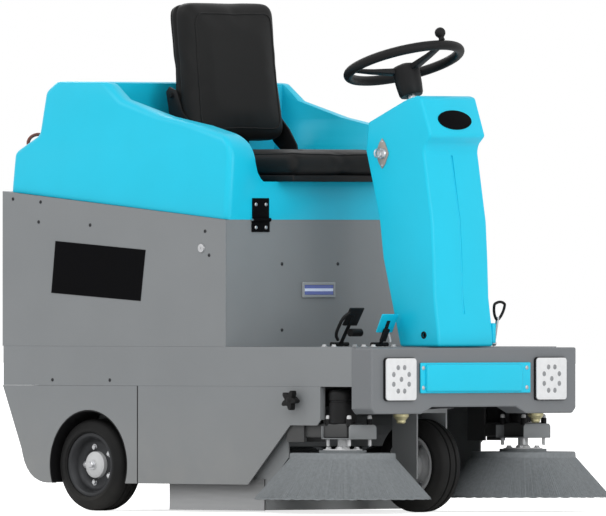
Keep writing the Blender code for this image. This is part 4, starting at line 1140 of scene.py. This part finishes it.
class SWEEPER_OT_controls(PieceOperator, bpy.types.Operator):
    """Pedals and the brush lift lever"""
    bl_idname = "sweeper.controls"
    bl_label = "Controls"

    def make(self, sizes):
        for name, x, lean, reach, low, high, node in (
                ("accelerator", 0.312, 58.0, 0.109, -0.203, -0.143, "accelerator_pedal"),
                ("brake", 0.418, 64.0, 0.085, -0.165, -0.108, "brake_pedal")):
            middle, half = (low + high) / 2.0, (high - low) / 2.0
            place = Matrix.Translation((x, middle, PIVOT_Z)) @ Matrix.Rotation(-math.radians(lean), 4, "Y")
            barrel = round_bar(-half, half, 0.0054, 28, along((x, middle, PIVOT_Z), (0, 1, 0)))
            arm = box((0.0, -0.006, -0.0045), (reach * 0.80, 0.006, -0.0015), 0.0010, 2)
            arm.matrix_world = place
            finish = "black" if name == "accelerator" else "cover"
            if name == "accelerator":
                plate = box((reach * 0.52, -half * 0.70, -0.003), (reach, half, 0.0015), 0.0014, 3)
                loop = [(0.014, -half * 0.50), (0.028, -half * 0.95), (0.056, -half * 1.10), (0.082, -half * 0.95),
                        (0.096, -half * 0.50)]
                bar = tube([place @ Vector((reach_x, across, -0.0015)) for reach_x, across in loop], 0.0042)
                crank = turned([(0, 0.022), (0.0085, 0.022), (0.0100, 0.020), (0.0100, -0.018), (0, -0.018)], 28,
                               matrix=along((x + 0.040, middle + half * 0.5, 0.456), (0, 1, 0)))
                extras = [barrel, arm, bar, crank]
            else:
                plate = box((reach * 0.40, -half, -0.003), (reach, half, 0.0015), 0.0014, 3)
                block = box((0.012, -0.010, -0.0110), (reach * 0.55, 0.008, -0.0030), 0.0015, 2)
                block.matrix_world = place
                extras = [barrel, arm, block]
            plate.matrix_world = place
            finish_piece(f"{name}_plate", plate, finish, name, (node,))
            finish_piece(f"{name}_lever", extras, "grip", name)
            ribs = []
            for i in range(5):
                start = reach * (0.60 + 0.075 * i)
                rib = box((start, -half * 0.45, 0.0012), (start + reach * 0.045, half * 0.62, 0.0038), 0.0008, 2)
                rib.matrix_world = place
                ribs.append(rib)
            finish_piece(f"{name}_pad", ribs, "grip", name)
        rod = tube([(0.4330, -0.112, 0.4320), (0.4270, -0.112, 0.4600), (0.4300, -0.112, 0.4860)], 0.0026)
        finish_piece("brake_rod", rod, "silver", "brake")
        for name, x, low, high in (("accelerator", 0.312, -0.20, -0.14), ("brake", 0.418, -0.165, -0.108)):
            spots = [((x + ahead, y, 0.4203), (0, 0, 1)) for ahead in (-0.016, 0.018)
                     for y in (low - 0.012, high + 0.004)]
            repeat(f"{name}_foot_bolts", hex_bolt(0.0055), spots, "silver", "chassis")
        foot = Vector((0.495, 0.20, 0.4286))
        lean = Matrix.Translation(foot) @ Matrix.Rotation(math.radians(12.0), 4, "Y")
        rod = turned([(0, 0.068), (0.0042, 0.068), (0.0042, 0.006), (0.008, 0.0), (0.0057, -0.0057), (0, -0.008)], 24,
                     matrix=lean)
        finish_piece("lever_rod", rod, "steel", "lift_lever", ("brush_lift_lever",))
        loop = [lean @ Vector(p) for p in ((0, 0.003, 0.062), (0, -0.003, 0.062), (0, -0.019, 0.098),
                                           (0, -0.016, 0.103), (0, 0.016, 0.103), (0, 0.019, 0.098))]
        finish_piece("lever_loop", tube(loop, 0.0036, True), "grip", "lift_lever", angle=60.0)


class SWEEPER_OT_seat(PieceOperator, bpy.types.Operator):
    """Padded seat cushion and back with their welts, pan and side brackets"""
    bl_idname = "sweeper.seat"
    bl_label = "Seat"

    def make(self, sizes):
        def cushion_crown(vertex, share):
            if share[2] > 0.1:
                dish = max(0.0, 1.0 - abs(share[1]) ** 2.5)
                vertex.co.z -= 0.006 * dish * (1.0 - 0.5 * abs(share[0]))

        def cushion_seams(vertex):
            for line in (-0.120, 0.120):
                near = abs(vertex.co.y - line)
                if near < 0.012 and vertex.co.z > 0.885 and vertex.co.x < 0.125:
                    vertex.co.z -= 0.006 * math.exp(-(near / 0.0045) ** 2)

        low, high = (-0.2735, -0.195, 0.849), (0.170, 0.195, 0.922)
        cushion = pad("seat_cushion_pad", low, high, Matrix.Identity(4), 0.022, ("seat_cushion",), cushion_crown,
                      cushion_seams)
        pan = box((-0.262, -0.186, 0.8393), (0.160, 0.186, 0.856), 0.004, 3)
        finish_piece("seat_pan", pan, "grip", "hood")
        edge = [(-0.0515 + a, b, 0.917) for a, b in round_rectangle(0.2165, 0.190, 0.034)]
        piping("seat_cushion_welt", edge, cushion, Matrix.Identity(4))

        place = Matrix.Translation((-0.245, 0.0, 0.949)) @ Matrix.Rotation(math.radians(-6.5), 4, "Y")

        def back_crown(vertex, share):
            vertex.co.y *= 1.0 - 0.025 * (1.0 + share[2])
            if share[0] > 0.1:
                dish = max(0.0, 1.0 - abs(share[1]) ** 2.0) * max(0.0, 1.0 - abs(share[2]) ** 4.0)
                vertex.co.x -= 0.006 * dish

        def back_seams(vertex):
            near = abs(vertex.co.x + 0.008)
            if near < 0.012 and (abs(vertex.co.y) > 0.12 or vertex.co.z > 0.30):
                sink = 1.0 - 0.03 * math.exp(-(near / 0.004) ** 2)
                vertex.co.y *= sink
                vertex.co.z = 0.17 + (vertex.co.z - 0.17) * sink

        low, high = (-0.050, -0.168, -0.004), (0.048, 0.168, 0.350)
        back = pad("seat_back_pad", low, high, place, 0.030, ("seat_back",), back_crown, back_seams)
        for name, across, wide, tall in (("front", 0.053, 0.148, 0.152), ("rear", -0.030, 0.170, 0.175)):
            edge = [(across, a * (0.975 - 0.025 * b / 0.170), 0.170 + b)
                    for a, b in round_rectangle(wide, tall, 0.036)]
            piping(f"seat_back_welt_{name}", edge, back, place)
        outline = [(-0.236, 0.9226), (-0.176, 0.9226), (-0.178, 0.935), (-0.206, 0.975), (-0.250, 1.020),
                   (-0.270, 1.072), (-0.296, 1.082), (-0.308, 1.070), (-0.290, 0.980), (-0.258, 0.940)]
        for side, sign in SIDES:
            bracket = prism(outline, "XZ", *span(sign, 0.1685, 0.1745), 0.0015, 2)
            finish_piece(f"seat_side_bracket_{side}", bracket, "grip", "hood")
            spots = [((x, sign * 0.1745, z), (0, sign, 0)) for x, z in ((-0.287, 1.060), (-0.212, 0.945))]
            repeat(f"seat_bracket_bolts_{side}", hex_bolt(0.006), spots, "grip", "hood")


class SWEEPER_OT_inside(PieceOperator, bpy.types.Operator):
    """Cells and caps of the battery pack under the hood"""
    bl_idname = "sweeper.inside"
    bl_label = "Battery"

    def make(self, sizes):
        low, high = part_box("battery_pack")
        cells, caps = [], []
        columns, rows = 3, 4
        for i in range(columns):
            for j in range(rows):
                width = (high.x - low.x) / columns
                depth = (high.y - low.y) / rows
                a = (low.x + width * i + 0.001, low.y + depth * j + 0.001, low.z)
                b = (low.x + width * (i + 1) - 0.001, low.y + depth * (j + 1) - 0.001, high.z - 0.006)
                cells.append(box(a, b, 0.004, 2))
                for k in range(3):
                    caps.append(((a[0] + width * (0.25 + 0.25 * k), (a[1] + b[1]) / 2.0, high.z - 0.0062), (0, 0, 1)))
        finish_piece("battery_cells", cells, "black", "chassis", ("battery_pack",))
        cap = turned([(0, 0.006), (0.008, 0.006), (0.0105, 0.004), (0.0105, 0.0), (0, 0.0)], 16)
        repeat("battery_caps", cap, caps, "rust", "chassis")


class SWEEPER_OT_stage(PieceOperator, bpy.types.Operator):
    """Pale floor, white surround, soft lamps and the camera"""
    bl_idname = "sweeper.stage"
    bl_label = "Stage"

    def make(self, sizes):
        scene = bpy.context.scene
        scene.view_settings.view_transform = "Standard"
        bm = bmesh.new()
        bmesh.ops.create_grid(bm, x_segments=1, y_segments=1, size=60.0)
        mesh = as_mesh(bm)
        mesh.materials.append(self.floor_finish())
        park(mesh, "floor")
        self.surround(scene)
        lamps = (("key", (5.0, -6.5, 6.5), 5.0, 165.0), ("fill", (8.5, -0.5, 2.5), 5.0, 165.0),
                 ("rim", (-6.0, 3.0, 5.0), 4.0, 120.0), ("side", (-3.5, -6.5, 7.5), 4.0, 150.0))
        for name, place, size, power in lamps:
            lamp = bpy.data.lights.new(name, "AREA")
            lamp.shape = "DISK"
            lamp.size = size
            lamp.energy = power
            item = park(lamp, name)
            item.location = place
            item.rotation_euler = (Vector((0.0, 0.0, 0.5)) - Vector(place)).to_track_quat("-Z", "Y").to_euler()
        camera = bpy.data.cameras.new("camera")
        camera.lens = 1376.0
        camera.sensor_width = 36.0
        camera.clip_end = 300.0
        item = park(camera, "camera")
        aim, away, distance = Vector((0.012, 0.0, 0.645)), Vector((0.7009, -0.7133, 0.0)), 59.06
        item.location = aim + away * distance
        item.rotation_euler = (aim - item.location).to_track_quat("-Z", "Y").to_euler()
        scene.camera = item

    def floor_finish(self):
        """White studio floor that still takes the shadow."""
        made = bpy.data.materials.new("studio_floor")
        made.use_nodes = True
        tree = made.node_tree
        shader = tree.nodes["Principled BSDF"]
        shader.inputs["Base Color"].default_value = linear("#F2F2F2")
        shader.inputs["Roughness"].default_value = 0.9
        shader.inputs["Specular IOR Level"].default_value = 0.0
        seen = add_node(tree, "ShaderNodeLightPath").outputs["Is Camera Ray"]
        glow = add_node(tree, "ShaderNodeEmission", {"Color": (1, 1, 1, 1), "Strength": 0.75})
        both = add_node(tree, "ShaderNodeAddShader", {0: shader.outputs[0], 1: glow.outputs[0]})
        mix = add_node(tree, "ShaderNodeMixShader", {0: seen, 1: shader.outputs[0], 2: both.outputs[0]})
        tree.links.new(mix.outputs[0], tree.nodes["Material Output"].inputs["Surface"])
        return made

    def surround(self, scene):
        """World that lights softly and shows white."""
        world = bpy.data.worlds.new("studio")
        scene.world = world
        world.use_nodes = True
        tree = world.node_tree
        tree.nodes.clear()
        path = add_node(tree, "ShaderNodeLightPath").outputs
        seen = add_node(tree, "ShaderNodeMath", {0: path["Is Camera Ray"], 1: path["Is Glossy Ray"]},
                        operation="MAXIMUM").outputs[0]
        seen = add_node(tree, "ShaderNodeMath", {0: seen, 1: path["Is Transmission Ray"]},
                        operation="MAXIMUM").outputs[0]
        soft = add_node(tree, "ShaderNodeBackground", {"Color": (1, 1, 1, 1), "Strength": 0.76})
        white = add_node(tree, "ShaderNodeBackground", {"Color": (1, 1, 1, 1), "Strength": 1.0})
        mix = add_node(tree, "ShaderNodeMixShader", {0: seen, 1: soft.outputs[0], 2: white.outputs[0]})
        add_node(tree, "ShaderNodeOutputWorld", {"Surface": mix.outputs[0]})


OPERATORS = (SWEEPER_OT_finishes, SWEEPER_OT_hood, SWEEPER_OT_hinges, SWEEPER_OT_console, SWEEPER_OT_steering,
             SWEEPER_OT_wheels, SWEEPER_OT_side_brushes, SWEEPER_OT_main_brush, SWEEPER_OT_doors, SWEEPER_OT_front,
             SWEEPER_OT_controls, SWEEPER_OT_seat, SWEEPER_OT_inside, SWEEPER_OT_stage)


class SWEEPER_PT_panel(bpy.types.Panel):
    """Sidebar list of the sweeper's sizes, colours and pieces"""
    bl_idname = "SWEEPER_PT_panel"
    bl_label = "Ride-on sweeper"
    bl_space_type = "VIEW_3D"
    bl_region_type = "UI"
    bl_category = "Sweeper"

    def draw(self, context):
        column = self.layout.column()
        for group in (context.scene.sweeper_colours, context.scene.sweeper_sizes):
            for key in group.__annotations__:
                column.prop(group, key)
        for operator in OPERATORS:
            column.operator(operator.bl_idname)


CLASSES = (SweeperColours, SweeperSizes, *OPERATORS, SWEEPER_PT_panel)


def register():
    """Add the settings, operators and panel."""
    for item in CLASSES:
        bpy.utils.register_class(item)
    bpy.types.Scene.sweeper_colours = bpy.props.PointerProperty(type=SweeperColours)
    bpy.types.Scene.sweeper_sizes = bpy.props.PointerProperty(type=SweeperSizes)


def unregister():
    """Take the settings, operators and panel away."""
    del bpy.types.Scene.sweeper_sizes
    del bpy.types.Scene.sweeper_colours
    for item in reversed(CLASSES):
        bpy.utils.unregister_class(item)


def main():
    """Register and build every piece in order."""
    register()
    for operator in OPERATORS:
        group, name = operator.bl_idname.split(".")
        getattr(getattr(bpy.ops, group), name)()


if __name__ == "__main__":
    main()
